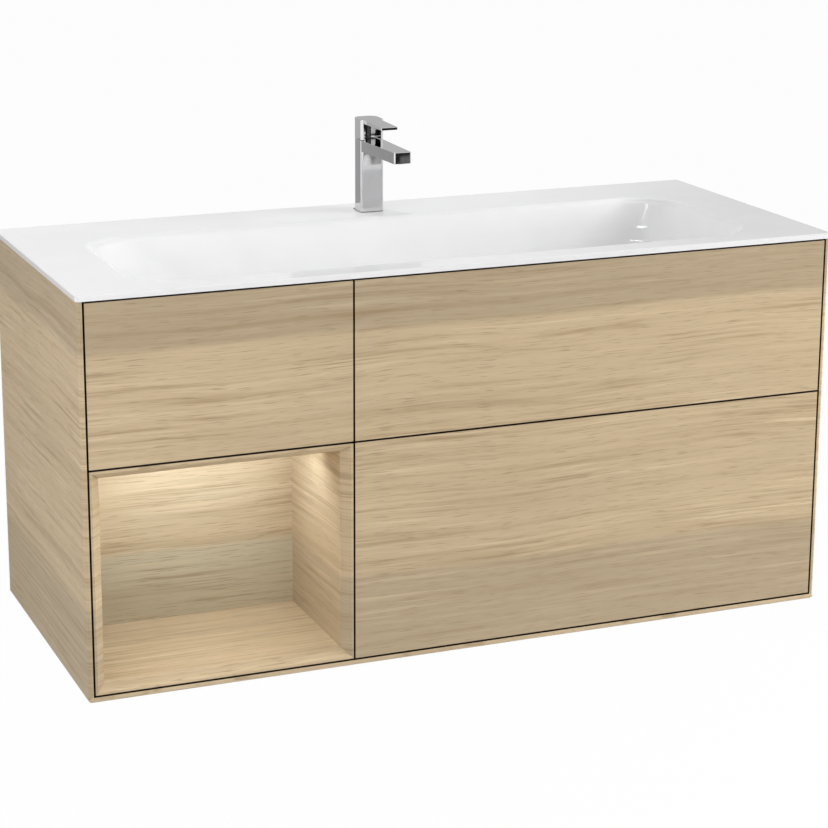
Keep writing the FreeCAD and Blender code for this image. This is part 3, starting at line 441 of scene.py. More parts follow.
@dataclass(frozen=True)
class OakVeneer(Recipe):
    """Light oak veneer: a pale middle between darker edges, with wavering streaks and short pores.

    The walls of the narrow gaps round the fronts are coloured near-black as painted shade, standing in for
    the shadow deep in the gaps. A run is the features per metre along the grain, across it and through it. A
    cover is the noise where a layer starts, the noise where it is full, and the share that it then covers.
    """

    grain: Grain
    pale: Colour = srgb(198, 176, 142)
    shade: Colour = srgb(178, 159, 130)
    line: Colour = srgb(152, 128, 94)
    gleam: Colour = srgb(218, 197, 161)
    pore: Colour = srgb(138, 114, 82)
    # Near-black painted shade for the walls of the gaps round the fronts.
    gap_shade: Colour = (0.008, 0.006, 0.004)
    figured: bool = True
    upper_edge: float = 0.512 - HANG_M
    upper_blur: float = 0.008
    lower_edge: float = 0.138 - HANG_M
    lower_blur: float = 0.010
    edge_sway: float = 0.25
    edge_reach: float = 0.02
    shaded_gleam: float = 0.45
    drift_run: Triple = (1.7, 1.7, 1.7)
    drift_reach: float = 0.04
    ripple_run: Triple = (8.0, 22.0, 8.0)
    ripple_reach: float = 0.0028
    streak_run: Triple = (3.4, 130.0, 3.4)
    hair_run: Triple = (4.0, 340.0, 4.0)
    broad_run: Triple = (1.1, 34.0, 1.1)
    pore_run: Triple = (24.0, 700.0, 24.0)
    cloud_run: Triple = (3.0, 7.0, 3.0)
    lively_run: Triple = (4.5, 18.0, 4.5)
    lively_span: Pair = (0.36, 0.64)
    lively_ends: Pair = (0.35, 1.0)
    cloud_cover: Triple = (0.45, 0.75, 0.25)
    broad_cover: Triple = (0.50, 0.74, 0.38)
    dark_streak_cover: Triple = (0.50, 0.70, 0.66)
    pale_streak_cover: Triple = (0.47, 0.30, 0.76)
    dark_hair_cover: Triple = (0.56, 0.72, 0.44)
    pale_hair_cover: Triple = (0.42, 0.30, 0.46)
    pore_cover: Triple = (0.60, 0.70, 0.45)
    pore_dent: Triple = (0.60, 0.72, 0.5)
    rough: Pair = (0.46, 0.58)
    relief: float = 0.00025
    gap_half: float = 0.0017
    gap_sides: float = 0.5892
    gap_middle: float = -0.1911
    gap_heights: Triple = (0.0101, 0.3471, 0.5895)
    gap_spans: tuple[Pair, Pair, Pair] = ((0.0, 0.5912), (-0.4885, 0.0092), (-0.2355, 0.2915))

    def gap_shade_mask(self, graph: Graph, axes: tuple[Socket, Socket, Socket]) -> Socket:
        """Painted-shade mask: 1 on the walls of the gaps between the fronts, within a middle and a reach
        along each axis.

        Args:
            graph: The material's nodes.
            axes: The object's x, y and z.

        Returns:
            0 or 1.
        """
        found = graph.near(graph.sum("ABSOLUTE", axes[0]), self.gap_sides, self.gap_half)
        found = graph.sum("MAXIMUM", found, graph.near(axes[0], self.gap_middle, self.gap_half))
        for height in self.gap_heights:
            level = graph.near(axes[2], height - HANG_M, self.gap_half)
            found = graph.sum("MAXIMUM", found, level)
        for axis, (centre, reach) in zip(axes, self.gap_spans):
            found = graph.sum("MULTIPLY", found, graph.near(axis, centre, reach))
        return found

    def paint(self, graph: MaterialGraph) -> None:
        """Adds the veneer's own nodes."""
        axes = graph.axes()
        along, across, third = (axes[index] for index in self.grain.value)
        drift = graph.noise(graph.object_place, self.drift_run, detail=1.5)
        ripple = graph.noise(graph.joined(along, across, third), self.ripple_run, detail=1.0)
        sway = graph.sum("ADD", graph.swing(drift, self.drift_reach), graph.swing(ripple, self.ripple_reach))
        place = graph.joined(along, graph.sum("ADD", across, sway), third)

        streak = graph.noise(place, self.streak_run, detail=4.0, rough=0.60)
        hair = graph.noise(place, self.hair_run)
        broad = graph.noise(place, self.broad_run, detail=3.0, rough=0.55)
        pores = graph.noise(place, self.pore_run, detail=1.0)
        cloud = graph.noise(place, self.cloud_run)
        lively = graph.ramp(graph.noise(place, self.lively_run), *self.lively_span, *self.lively_ends)

        tone: Socket | Colour = self.pale
        glow: Socket = lively
        if self.figured:
            edge = graph.sum("ADD", axes[2], graph.sum("MULTIPLY", sway, self.edge_sway))
            edge = graph.sum("ADD", edge, graph.swing(broad, self.edge_reach))
            high = graph.ramp(edge, self.upper_edge - self.upper_blur, self.upper_edge + self.upper_blur)
            low = graph.ramp(edge, self.lower_edge + self.lower_blur, self.lower_edge - self.lower_blur)
            shaded = graph.sum("MAXIMUM", high, low)
            tone = graph.mix(shaded, self.pale, self.shade)
            glow = graph.sum("MULTIPLY", lively, graph.ramp(shaded, 0.0, 1.0, 1.0, self.shaded_gleam))
        layers = (
            (graph.cover(cloud, self.cloud_cover), self.shade),
            (graph.cover(broad, self.broad_cover), self.line),
            (graph.sum("MULTIPLY", graph.cover(streak, self.dark_streak_cover), lively), self.line),
            (graph.sum("MULTIPLY", graph.cover(streak, self.pale_streak_cover), glow), self.gleam),
            (graph.sum("MULTIPLY", graph.cover(hair, self.dark_hair_cover), lively), self.line),
            (graph.sum("MULTIPLY", graph.cover(hair, self.pale_hair_cover), glow), self.gleam),
            (graph.cover(pores, self.pore_cover), self.pore),
            # Painted shade: near-black on the gap walls, standing in for the shadow deep in the narrow gaps.
            (self.gap_shade_mask(graph, axes), self.gap_shade),
        )
        for share, colour in layers:
            tone = graph.mix(share, tone, colour)
        graph.put(Base_Color=tone, Roughness=graph.roughness(streak, self.rough), IOR=1.42)
        height = graph.sum("SUBTRACT", streak, graph.cover(pores, self.pore_dent))
        graph.bump(height, self.relief, strength=0.6)


@dataclass(frozen=True)
class Glaze(Recipe):
    """White gloss glaze with a faint unevenness."""

    name: str = "basin_glaze"
    white: Colour = (0.83, 0.83, 0.83)
    tint: Colour = (0.80, 0.80, 0.805)
    rough: Pair = (0.05, 0.09)
    cloud_run: Triple = (9.0, 9.0, 9.0)
    ripple_run: Triple = (28.0, 28.0, 28.0)
    relief: float = 0.0002

    def paint(self, graph: MaterialGraph) -> None:
        """Adds the glaze's own nodes."""
        cloud = graph.noise(graph.object_place, self.cloud_run)
        ripple = graph.noise(graph.object_place, self.ripple_run, detail=1.0)
        graph.put(Base_Color=graph.tinted(cloud, self.white, self.tint),
                  Roughness=graph.roughness(cloud, self.rough), IOR=1.5)
        graph.bump(ripple, self.relief, strength=0.15)


@dataclass(frozen=True)
class Metal(Recipe):
    """A metal with fine marks along one direction."""

    colour: Colour
    dull: Colour
    rough: Pair
    stretch: Triple = (40.0, 40.0, 40.0)
    relief: float = 0.0

    def paint(self, graph: MaterialGraph) -> None:
        """Adds the metal's own nodes."""
        marks = graph.noise(graph.object_place, self.stretch, detail=3.0, rough=0.6)
        graph.put(Base_Color=graph.tinted(marks, self.colour, self.dull), Metallic=1.0,
                  Roughness=graph.roughness(marks, self.rough))
        if self.relief:
            graph.bump(marks, self.relief, strength=0.5)


@dataclass(frozen=True)
class Plastic(Recipe):
    """Moulded plastic or rubber with a fine texture."""

    colour: Colour
    mottle: Colour
    rough: Pair
    cloud_run: Triple = (60.0, 60.0, 60.0)
    sparkle_run: Triple = (1400.0, 1400.0, 1400.0)
    relief: float = 0.00008

    def paint(self, graph: MaterialGraph) -> None:
        """Adds the plastic's own nodes."""
        cloud = graph.noise(graph.object_place, self.cloud_run)
        sparkle = graph.noise(graph.object_place, self.sparkle_run, detail=1.0)
        graph.put(Base_Color=graph.tinted(cloud, self.colour, self.mottle),
                  Roughness=graph.roughness(sparkle, self.rough), IOR=1.46)
        graph.bump(sparkle, self.relief, strength=0.4)


@dataclass(frozen=True)
class OpalLight(Recipe):
    """Opal cover lit warmly from behind, a little brighter over each diode."""

    name: str = "opal_light"
    colour: Colour = (0.90, 0.86, 0.76)
    glow: Colour = (1.0, 0.80, 0.52)
    pitch: float = 60.0
    strengths: Pair = (1.6, 2.0)

    def paint(self, graph: MaterialGraph) -> None:
        """Adds the cover's own nodes."""
        x, _, _ = graph.axes()
        wave = graph.sum("SINE", graph.sum("MULTIPLY", x, 2 * math.pi * self.pitch))
        graph.put(Base_Color=self.colour, Roughness=0.4, Emission_Color=self.glow,
                  Emission_Strength=graph.ramp(wave, -1.0, 1.0, *self.strengths))


BOARD_PALE = srgb(190, 169, 137)


class Finish(Enum):
    """Every finish of the unit, whose material is built when it is first asked for."""

    OAK_FRONT = OakVeneer("oak_across_fronts", Grain.WIDE_UPRIGHT)
    OAK_SIDE = OakVeneer("oak_along_sides", Grain.DEEP_UPRIGHT)
    OAK_FLAT = OakVeneer("oak_laid_flat", Grain.WIDE_FLAT, figured=False)
    OAK_NICHE = OakVeneer("oak_behind_niche", Grain.WIDE_UPRIGHT, shade=srgb(194, 182, 154))
    BOARD_WIDE = OakVeneer("drawer_board_wide", Grain.WIDE_UPRIGHT, BOARD_PALE, figured=False)
    BOARD_DEEP = OakVeneer("drawer_board_deep", Grain.DEEP_UPRIGHT, BOARD_PALE, figured=False)
    BOARD_FLAT = OakVeneer("drawer_board_flat", Grain.DEEP_FLAT, BOARD_PALE, figured=False)
    GLAZE = Glaze()
    CHROME = Metal("polished_chrome", (0.70, 0.70, 0.71), (0.67, 0.67, 0.68), (0.03, 0.05))
    ZINC = Metal("zinc_steel", (0.55, 0.56, 0.58), (0.40, 0.41, 0.43), (0.28, 0.42),
                 (260.0, 12.0, 260.0), 0.00005)
    ALUMINIUM = Metal("anodised_aluminium", (0.72, 0.72, 0.73), (0.62, 0.62, 0.63), (0.25, 0.35),
                      (10.0, 300.0, 300.0))
    BRASS = Metal("machined_brass", (0.68, 0.50, 0.24), (0.52, 0.37, 0.17), (0.22, 0.36))
    # Painted shade: the tap stem is coloured near-black so that the arch under the lever looks dark, as if in
    # shade.
    ARCH_SHADE_BRASS = Metal("brass_painted_arch_shade", (0.09, 0.088, 0.085), (0.06, 0.058, 0.056), (0.2, 0.34))
    WHITE_PLASTIC = Plastic("trap_plastic", (0.80, 0.80, 0.79), (0.76, 0.76, 0.75), (0.22, 0.32))
    GREY_PLASTIC = Plastic("plunger_plastic", (0.62, 0.62, 0.61), (0.56, 0.56, 0.55), (0.38, 0.5))
    BLACK_PLASTIC = Plastic("latch_plastic", (0.06, 0.06, 0.065), (0.045, 0.045, 0.05), (0.4, 0.55))
    RUBBER = Plastic("seal_rubber", (0.02, 0.02, 0.02), (0.03, 0.03, 0.03), (0.6, 0.75))
    LIGHT_BOARD = Plastic("light_board", (0.80, 0.79, 0.74), (0.74, 0.73, 0.68), (0.45, 0.6))
    OPAL = OpalLight()

    @cached_property
    def material(self) -> bpy.types.Material:
        """The finish's material, built once."""
        return self.value.material()


def dress(finish: Finish, *nodes: str) -> None:
    """Gives frame nodes their finish.

    Args:
        finish: The finish.
        *nodes: Names of the nodes.
    """
    for node in nodes:
        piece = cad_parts[node]
        if piece.material_slots:
            piece.material_slots[0].material = finish.material
        else:
            piece.data.materials.append(finish.material)
        LOG.info("%s: %s", node, finish.value.name)


def area_lamp(name: str, place: Triple, turn: Triple, size: Pair, watts: float) -> bpy.types.Object:
    """Adds a rectangular lamp that the camera doesn't see.

    Args:
        name: Name of the lamp.
        place: Where it stands.
        turn: Its turns about X, Y and Z in radians.
        size: Width and height.
        watts: Power.

    Returns:
        The lamp's object.
    """
    lamp = bpy.data.lights.new(name, "AREA")
    lamp.shape = "RECTANGLE"
    lamp.size, lamp.size_y = size
    lamp.energy = watts
    holder = bpy.data.objects.new(name, lamp)
    holder.location = place
    holder.rotation_euler = turn
    holder.visible_camera = False
    bpy.context.scene.collection.objects.link(holder)
    return holder


# Sub-assemblies

@dataclass
class Carcass:
    """Side panels, bottom, partition and rails, all veneered with the grain lying level."""

    upright_sides: tuple[str, ...] = ("left_side_panel", "right_side_panel", "centre_partition")
    upright_wide: tuple[str, ...] = ("upper_rear_rail", "lower_rear_rail", "front_rail")
    hardware: tuple[str, ...] = ("cabinet_rails", "wall_plates", "cabinet_hangers")

    def build(self) -> None:
        """Dresses the boards and the hanging hardware."""
        dress(Finish.OAK_SIDE, *self.upright_sides)
        dress(Finish.OAK_FRONT, *self.upright_wide)
        dress(Finish.OAK_FLAT, "bottom_panel")
        dress(Finish.ZINC, *self.hardware)
        dress(Finish.BLACK_PLASTIC, "latch_housings")


@dataclass
class LitNiche:
    """Open niche with a light let into its top."""

    lamp_watts: float = 0.72
    lamp_tilt_deg: float = 26.0
    lamp_share: float = 0.86
    lamp_drop: float = 0.006
    lamp_colour: Colour = (0.69, 0.79, 0.92)

    def build(self) -> None:
        """Dresses the boards and the light, and hangs the lamp under the opal cover."""
        dress(Finish.OAK_SIDE, "niche_left", "niche_right")
        dress(Finish.OAK_FLAT, "niche_bottom", "niche_top")
        dress(Finish.OAK_NICHE, "niche_back")
        dress(Finish.ALUMINIUM, "light_profile")
        dress(Finish.LIGHT_BOARD, "light_strip_board")
        dress(Finish.OPAL, "light_diffuser")
        low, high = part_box("light_diffuser")
        lamp = area_lamp("niche_lamp", ((low.x + high.x) / 2, (low.y + high.y) / 2, low.z - self.lamp_drop),
                         (math.radians(self.lamp_tilt_deg), 0.0, 0.0),
                         (self.lamp_share * (high.x - low.x), high.y - low.y), self.lamp_watts)
        lamp.data.color = self.lamp_colour


@dataclass
class Drawer:
    """One push-to-open drawer with its runners and latch plunger."""

    name: str
    nose_round: float = 1.4
    nose_steps: int = 7
    segments: int = 40

    def build(self) -> None:
        """Dresses the box and builds the plunger."""
        dress(Finish.OAK_FRONT, f"{self.name}_front")
        dress(Finish.BOARD_DEEP, f"{self.name}_left_side", f"{self.name}_right_side")
        dress(Finish.BOARD_WIDE, f"{self.name}_back")
        dress(Finish.BOARD_FLAT, f"{self.name}_floor")
        dress(Finish.ZINC, f"{self.name}_middle_rails", f"{self.name}_inner_rails")
        self.build_plunger()

    def build_plunger(self) -> None:
        """A round bar along Y whose front end is rounded off: radius r - e + e sin a, front e - e cos a."""
        node = self.name.replace("_drawer", "_latch_plunger")
        low, high = cabinet_box(node)
        radius = (high[0] - low[0]) / 2
        turn = arc_steps(0, 90, self.nose_steps)
        nose = np.stack([radius - self.nose_round * (1 - np.sin(turn)),
                         self.nose_round * (1 - np.cos(turn))], -1)
        tail = np.array([[radius, high[1] - low[1]]])
        loops = turned_loops(np.concatenate([nose, tail]), self.segments)
        place = loops[..., [0, 2, 1]] + (low[0] + radius, low[1], low[2] + radius)
        Surface(f"{node}_piece").loft(place).build(Finish.GREY_PLASTIC, node, "plunger_plastic", node)


@dataclass
class Washbasin:
    """Thin ceramic slab over the whole cabinet, with one wide soft-edged bowl."""

    half_width: float = 600.0
    depth: float = 500.0
    top: float = 599.5
    underside: float = 591.0
    corner: float = 5.0
    lip: float = 2.0
    wall_half: float = 496.0
    wall_front: float = -451.0
    wall_back: float = -124.0
    wall_corner: float = 75.0
    corner_growth: float = 4.6
    end_flat: float = 2.0
    rim_round: float = 12.0
    draft_deg: float = 12.0
    floor_round: float = 70.0
    floor_edge: float = 96.0
    floor_depth: float = 100.0
    wall: float = 9.0
    drain_flat: float = 45.0
    recess_radius: float = 33.0
    recess_depth: float = 3.5
    drain_radius: float = 22.5
    rim_steps: int = 14
    round_steps: int = 24
    fall_steps: int = 16
    lip_steps: int = 6
    per_corner: int = 26
    per_side: int = 10

    def profile(self) -> np.ndarray:
        """Section of the bowl from the rim to the floor: a rolled rim, a drafted wall, a wide floor round.

        On the rim the inset is r * sin a less the rim's reach, and the depth r * (1 - cos a). On the floor's
        round the inset grows by R * (sin steep - sin a) and the depth by R * (cos a - cos steep).

        Returns:
            Array of (inset, depth, slope) rows, the inset from the wall's place at the level of the top.
        """
        steep = math.radians(90.0 - self.draft_deg)
        roll = np.linspace(0.0, steep, self.rim_steps)
        rim = np.stack([self.rim_round * (np.sin(roll) - math.tan(steep / 2)),
                        self.rim_round * (1 - np.cos(roll)), roll], -1)
        slope = np.linspace(steep, 0.0, self.round_steps)
        depth = self.floor_edge - self.floor_round * (1 - np.cos(slope))
        inset = depth[0] / math.tan(steep) + self.floor_round * (math.sin(steep) - np.sin(slope))
        return np.concatenate([rim, np.stack([inset, depth, slope], -1)])

    def rings(self, inset: np.ndarray, depth: np.ndarray, spread: np.ndarray) -> np.ndarray:
        """The bowl's outlines, whose corners grow with the inset until the ends are round.

        Args:
            inset: Distance inside the wall's place at the level of the top.
            depth: Depth below the top.
            spread: Distance by which an outline is moved outwards.

        Returns:
            Rows of half width, half depth, corner radius, middle and height.
        """
        half_y = (self.wall_back - self.wall_front) / 2 - inset
        corner = self.wall_corner + self.corner_growth * np.maximum(inset, 0.0) - np.minimum(inset, 0.0)
        corner = np.minimum(corner, half_y - self.end_flat)
        middle = np.full_like(inset, (self.wall_back + self.wall_front) / 2)
        return np.stack([self.wall_half - inset + spread, half_y + spread, corner + spread, middle,
                         self.top - depth], -1)

    def build(self) -> None:
        """One closed shell from the drain up through the bowl, over the top and back under the slab."""
        inset, depth, slope = self.profile().T
        bowl = self.rings(inset, depth, np.zeros_like(inset))[::-1]

        share = np.linspace(0.0, 1.0, self.fall_steps)[:, None]
        drain = np.array([*[self.recess_radius] * 3, DRAIN_Y, self.top - self.floor_depth])
        fall = bowl[0, 4] + (drain[4] - bowl[0, 4]) * np.sin(share[:, 0] * math.pi / 2)
        floor = bowl[0] * (1 - share) + drain * share
        floor[:, 4] = fall
        floor = floor[::-1][:-1]

        seat_z = self.top - self.floor_depth - self.recess_depth
        shell_z = self.top - self.floor_depth - self.wall
        shell_flat = self.drain_flat + self.wall
        steps = ((shell_flat, shell_z), (self.drain_radius, shell_z), (self.drain_radius, seat_z),
                 (self.recess_radius, seat_z))
        hole = np.array([[radius, radius, radius, DRAIN_Y, height] for radius, height in steps])

        slab_y = -self.depth / 2
        turn = arc_steps(90, 0, self.lip_steps)
        shrink = self.lip * (1 - np.cos(turn))
        lip = np.stack([self.half_width - shrink, self.depth / 2 - shrink, self.corner - shrink,
                        np.full_like(turn, slab_y), self.top - self.lip + self.lip * np.sin(turn)], -1)
        slab_low = np.array([[self.half_width, self.depth / 2, self.corner, slab_y, self.underside]])

        outer = slope[self.rim_steps:]
        under = self.rings(inset[self.rim_steps:], depth[self.rim_steps:] + self.wall * np.cos(outer),
                           self.wall * np.sin(outer))
        collar = self.rings(np.zeros(1), np.full(1, self.top - self.underside), np.full(1, self.wall))

        table = np.concatenate([hole, floor, bowl, lip, slab_low, collar, under])
        flat = rounded_loops(table[:, 0], table[:, 1], np.repeat(table[:, 2:3], 4, axis=1), self.per_corner,
                             self.per_side)
        flat[..., 1] += table[:, 3:4]
        surface = Surface("washbasin_piece", SOFT_DEG).loft(raised(flat, table[:, 4]), wrap=True)
        surface.build(Finish.GLAZE, "cabinet", "basin_glaze", "washbasin")


@dataclass
class Tap:
    """Square chrome column with a straight spout and a lever cap that turns and lifts."""

    y: float = -63.0
    half: float = 19.75
    foot: float = 600.5
    top: float = 716.5
    front_corner: float = 5.0
    back_corner: float = 14.0
    edge: float = 0.7
    blade_edge: float = 0.4
    bore: float = 13.05
    bore_depth: float = 40.0
    spout_half: float = 14.5
    spout_root_inset: float = 1.0
    spout_corner: float = 2.5
    spout_edge: float = 0.5
    spout_height: float = 18.0
    spout_tip: float = -212.0
    lever_low: float = 717.3
    lever_high: float = 750.0
    lever_slope: float = 2.7 / 112.75
    lever_tip: float = -156.0
    blade_half: float = 14.0
    blade_corner: float = 1.2
    tip_thickness: float = 4.0
    root_thickness: float = 7.0
    arch_half: float = 14.25
    arch_z: float = 727.55
    arch_back: float = -48.25
    heel: float = 5.0
    spout_overlap: float = 3.0
    aerator_inset: float = 14.5
    aerator_profile: tuple[Pair, ...] = ((11.0, 8.0), (11.0, -0.6), (10.6, -1.0), (9.6, -1.0), (9.4, -0.4),
                                         (8.8, -0.2), (6.0, 0.0), (3.0, 0.1), (0.6, 0.1))
    aerator_segments: int = 48
    per_corner: int = 14
    per_side: int = 4
    top_steps: int = 6
    edge_steps: int = 5
    tip_steps: int = 6
    cap_steps: int = 12
    arch_steps: int = 18
    arch_end_deg: float = 88.0
    arch_slit: float = 0.02

    def build(self) -> None:
        """Builds the column with its spout, the lever and the aerator, and dresses what they hold."""
        self.build_column()
        self.build_lever()
        self.build_aerator()
        dress(Finish.RUBBER, "tap_base_seal")
        dress(Finish.BLACK_PLASTIC, "tap_cartridge")
        # The stem's near-black colour is painted shade for the inside of the lever's arch.
        dress(Finish.ARCH_SHADE_BRASS, "tap_stem")
        dress(Finish.BRASS, "tap_fixing_set")

    def corner_radii(self, count: int) -> np.ndarray:
        """Radii of the column's four corners, wider at the back, for each ring."""
        return np.tile([self.back_corner, self.back_corner, self.front_corner, self.front_corner], (count, 1))

    def build_column(self) -> None:
        """Column rings rise to a rounded top edge and sink into the bore, and the spout joins them."""
        points = self.per_corner, self.per_side
        turn = arc_steps(0, 90, self.top_steps)
        shrink = np.concatenate([[0.0], self.edge * (1 - np.cos(turn))])
        height = np.concatenate([[self.foot], self.top - self.edge + self.edge * np.sin(turn)])
        outer = rounded_loops(self.half - shrink, self.half - shrink,
                              self.corner_radii(len(shrink)) - shrink[:, None], *points)
        circle = np.full(2, self.bore)
        inner = rounded_loops(circle, circle, np.tile(circle[:, None], (1, 4)), *points)
        flat = np.concatenate([outer, inner])
        flat[..., 1] += self.y
        column = raised(flat, np.concatenate([height, [self.top, self.top - self.bore_depth]]))
        surface = Surface("tap_body_piece", SOFT_DEG).loft(column).loft(self.spout())
        surface.build(Finish.CHROME, "cabinet", "chrome", "tap_body")

    def tip_arcs(self, half: float, tip: float, corner: float) -> np.ndarray:
        """Both rounded corners of a tip in plan, from the left round to the right.

        Args:
            half: Half width at the tip.
            tip: Place of the tip along Y.
            corner: Radius of the corners.

        Returns:
            Array of points, counter-clockwise.
        """
        turn = np.stack([arc_steps(180, 270, self.tip_steps), arc_steps(270, 360, self.tip_steps)])
        centre = np.array([(corner - half, tip + corner), (half - corner, tip + corner)])
        arcs = centre[:, None] + corner * np.stack([np.cos(turn), np.sin(turn)], -1)
        return arcs.reshape(-1, 2)

    def spout(self) -> np.ndarray:
        """The spout's plan, which narrows evenly to its tip, carried up between two finely rounded edges.

        An edge moves inwards by e * (1 - cos a) while the height is e * (1 - sin a) short of the face.

        Returns:
            Rings from the underside to the top.
        """
        root, inside = self.half - self.spout_root_inset, self.y - self.half + self.spout_overlap
        rim = np.concatenate([self.tip_arcs(self.spout_half, self.spout_tip, self.spout_corner),
                              [(root, inside), (-root, inside)]])
        turn = np.concatenate([arc_steps(90, 0, self.edge_steps), arc_steps(0, 90, self.edge_steps)])
        plan = inset_rings(rim, self.spout_edge * (1 - np.cos(turn)))
        short = self.spout_edge * (1 - np.sin(turn))
        lower = np.arange(len(turn)) < self.edge_steps
        return raised(plan, np.where(lower, self.top - self.spout_height + short, self.top - short))

    def lever_top(self, y: np.ndarray) -> np.ndarray:
        """Height of the lever's top, which falls evenly towards its tip."""
        return self.lever_high - self.lever_slope * (self.y + self.half - y)

    def cap_arcs(self, front_turn: float, count: int) -> np.ndarray:
        """The cap's four rounded corners in plan, each centre + radius * (cos a, sin a), counter-clockwise.

        Args:
            front_turn: How far in degrees the front corners are followed towards the front.
            count: Points on each corner.

        Returns:
            Array shaped (4, count, 2): front right, back right, back left, front left.
        """
        side, face, back = self.half - self.front_corner, self.y - self.half, self.y + self.half
        deep = self.half - self.back_corner
        right = np.array([(side, face + self.front_corner), (deep, back - self.back_corner)])
        radius = np.array([self.front_corner, self.back_corner])[:, None, None]
        turn = np.stack([arc_steps(-front_turn, 0, count), arc_steps(0, 90, count)])
        arcs = right[:, None] + radius * np.stack([np.cos(turn), np.sin(turn)], -1)
        mirrored = arcs[::-1, ::-1] * (-1, 1)
        return np.concatenate([arcs, mirrored])

    def blade_underside(self, y: np.ndarray) -> np.ndarray:
        """Height of the plane under the blade, which rises evenly towards the tip."""
        face = self.y - self.half
        root = self.lever_high - self.root_thickness
        tip = float(self.lever_top(np.array(self.lever_tip))) - self.tip_thickness
        return root + (tip - root) * (face - y) / (face - self.lever_tip)

    def lever_walls(self) -> np.ndarray:
        """Plan rings round three sides of the arch, whose half width closes as sqrt(r^2 - (z - zc)^2).

        Returns:
            Rings from the foot of the walls to the underside of the blade's plane.
        """
        face, back = self.y - self.half, self.y + self.half
        low = self.lever_low
        turn = arc_steps(0, self.arch_end_deg, self.arch_steps)
        height = np.concatenate([[low, low + self.heel], self.arch_z + self.arch_half * np.sin(turn),
                                 [np.nan]])
        open_half = np.concatenate([[self.arch_half] * 2, self.arch_half * np.cos(turn), [self.arch_slit]])
        rim = self.cap_arcs(90.0, self.cap_steps).reshape(-1, 2)
        outer = np.broadcast_to(rim, (len(height), *rim.shape)).copy()
        cut = back - np.clip(low + self.heel - height, 0, None)
        outer[..., 1] = np.minimum(outer[..., 1], cut[:, None])
        outer[-1] = rim
        notch = np.stack([np.stack([open_half * sign, np.full_like(open_half, y)], -1) for sign, y in
                          ((-1, face), (-1, self.arch_back), (1, self.arch_back), (1, face))], 1)
        plan = np.concatenate([outer, notch], 1)
        level = np.broadcast_to(height[:, None], plan.shape[:2]).copy()
        level[-1] = self.blade_underside(plan[-1, :, 1])
        return raised(plan, level)

    def lever_plate(self) -> np.ndarray:
        """Cap and blade in one outline, from the plane under the blade up to a rounded top edge.

        The edge moves inwards along the outline's normals by e * (1 - cos a) while it rises by e * sin a.

        Returns:
            Rings from the underside to the top.
        """
        meet = math.degrees(math.acos((self.blade_half - self.half + self.front_corner) / self.front_corner))
        tip = self.tip_arcs(self.blade_half, self.lever_tip, self.blade_corner)
        rim = np.concatenate([self.cap_arcs(meet, self.cap_steps).reshape(-1, 2), tip])
        turn = arc_steps(0, 90, self.edge_steps)
        shrink = np.concatenate([[0.0], self.blade_edge * (1 - np.cos(turn))])
        plan = inset_rings(rim, shrink)
        drop = np.concatenate([[0.0], self.blade_edge * (1 - np.sin(turn))])
        level = self.lever_top(plan[..., 1]) - drop[:, None]
        level[0] = self.blade_underside(rim[:, 1])
        return raised(plan, level)

    def build_lever(self) -> None:
        """Walls round the arch under one plate of cap and blade."""
        surface = Surface("tap_lever_piece", SOFT_DEG).loft(self.lever_walls()).loft(self.lever_plate())
        surface.build(Finish.CHROME, "tap_lever", "chrome", "tap_lever")

    def build_aerator(self) -> None:
        """A short turned ring under the spout's tip with a stepped, slightly hollow face."""
        place = (0.0, self.spout_tip + self.aerator_inset, self.top - self.spout_height)
        loops = turned_loops(np.array(self.aerator_profile), self.aerator_segments) + place
        surface = Surface("tap_aerator_piece").loft(loops)
        surface.build(Finish.GREY_PLASTIC, "cabinet", "aerator_plastic", "tap_aerator")


def about_drain(profile: "np.ndarray | list[Pair]", segments: int, **ribs: object) -> np.ndarray:
    """Rings turned about the drain's upright axis."""
    return turned_loops(np.array(profile, float), segments, **ribs) + (0.0, DRAIN_Y, 0.0)


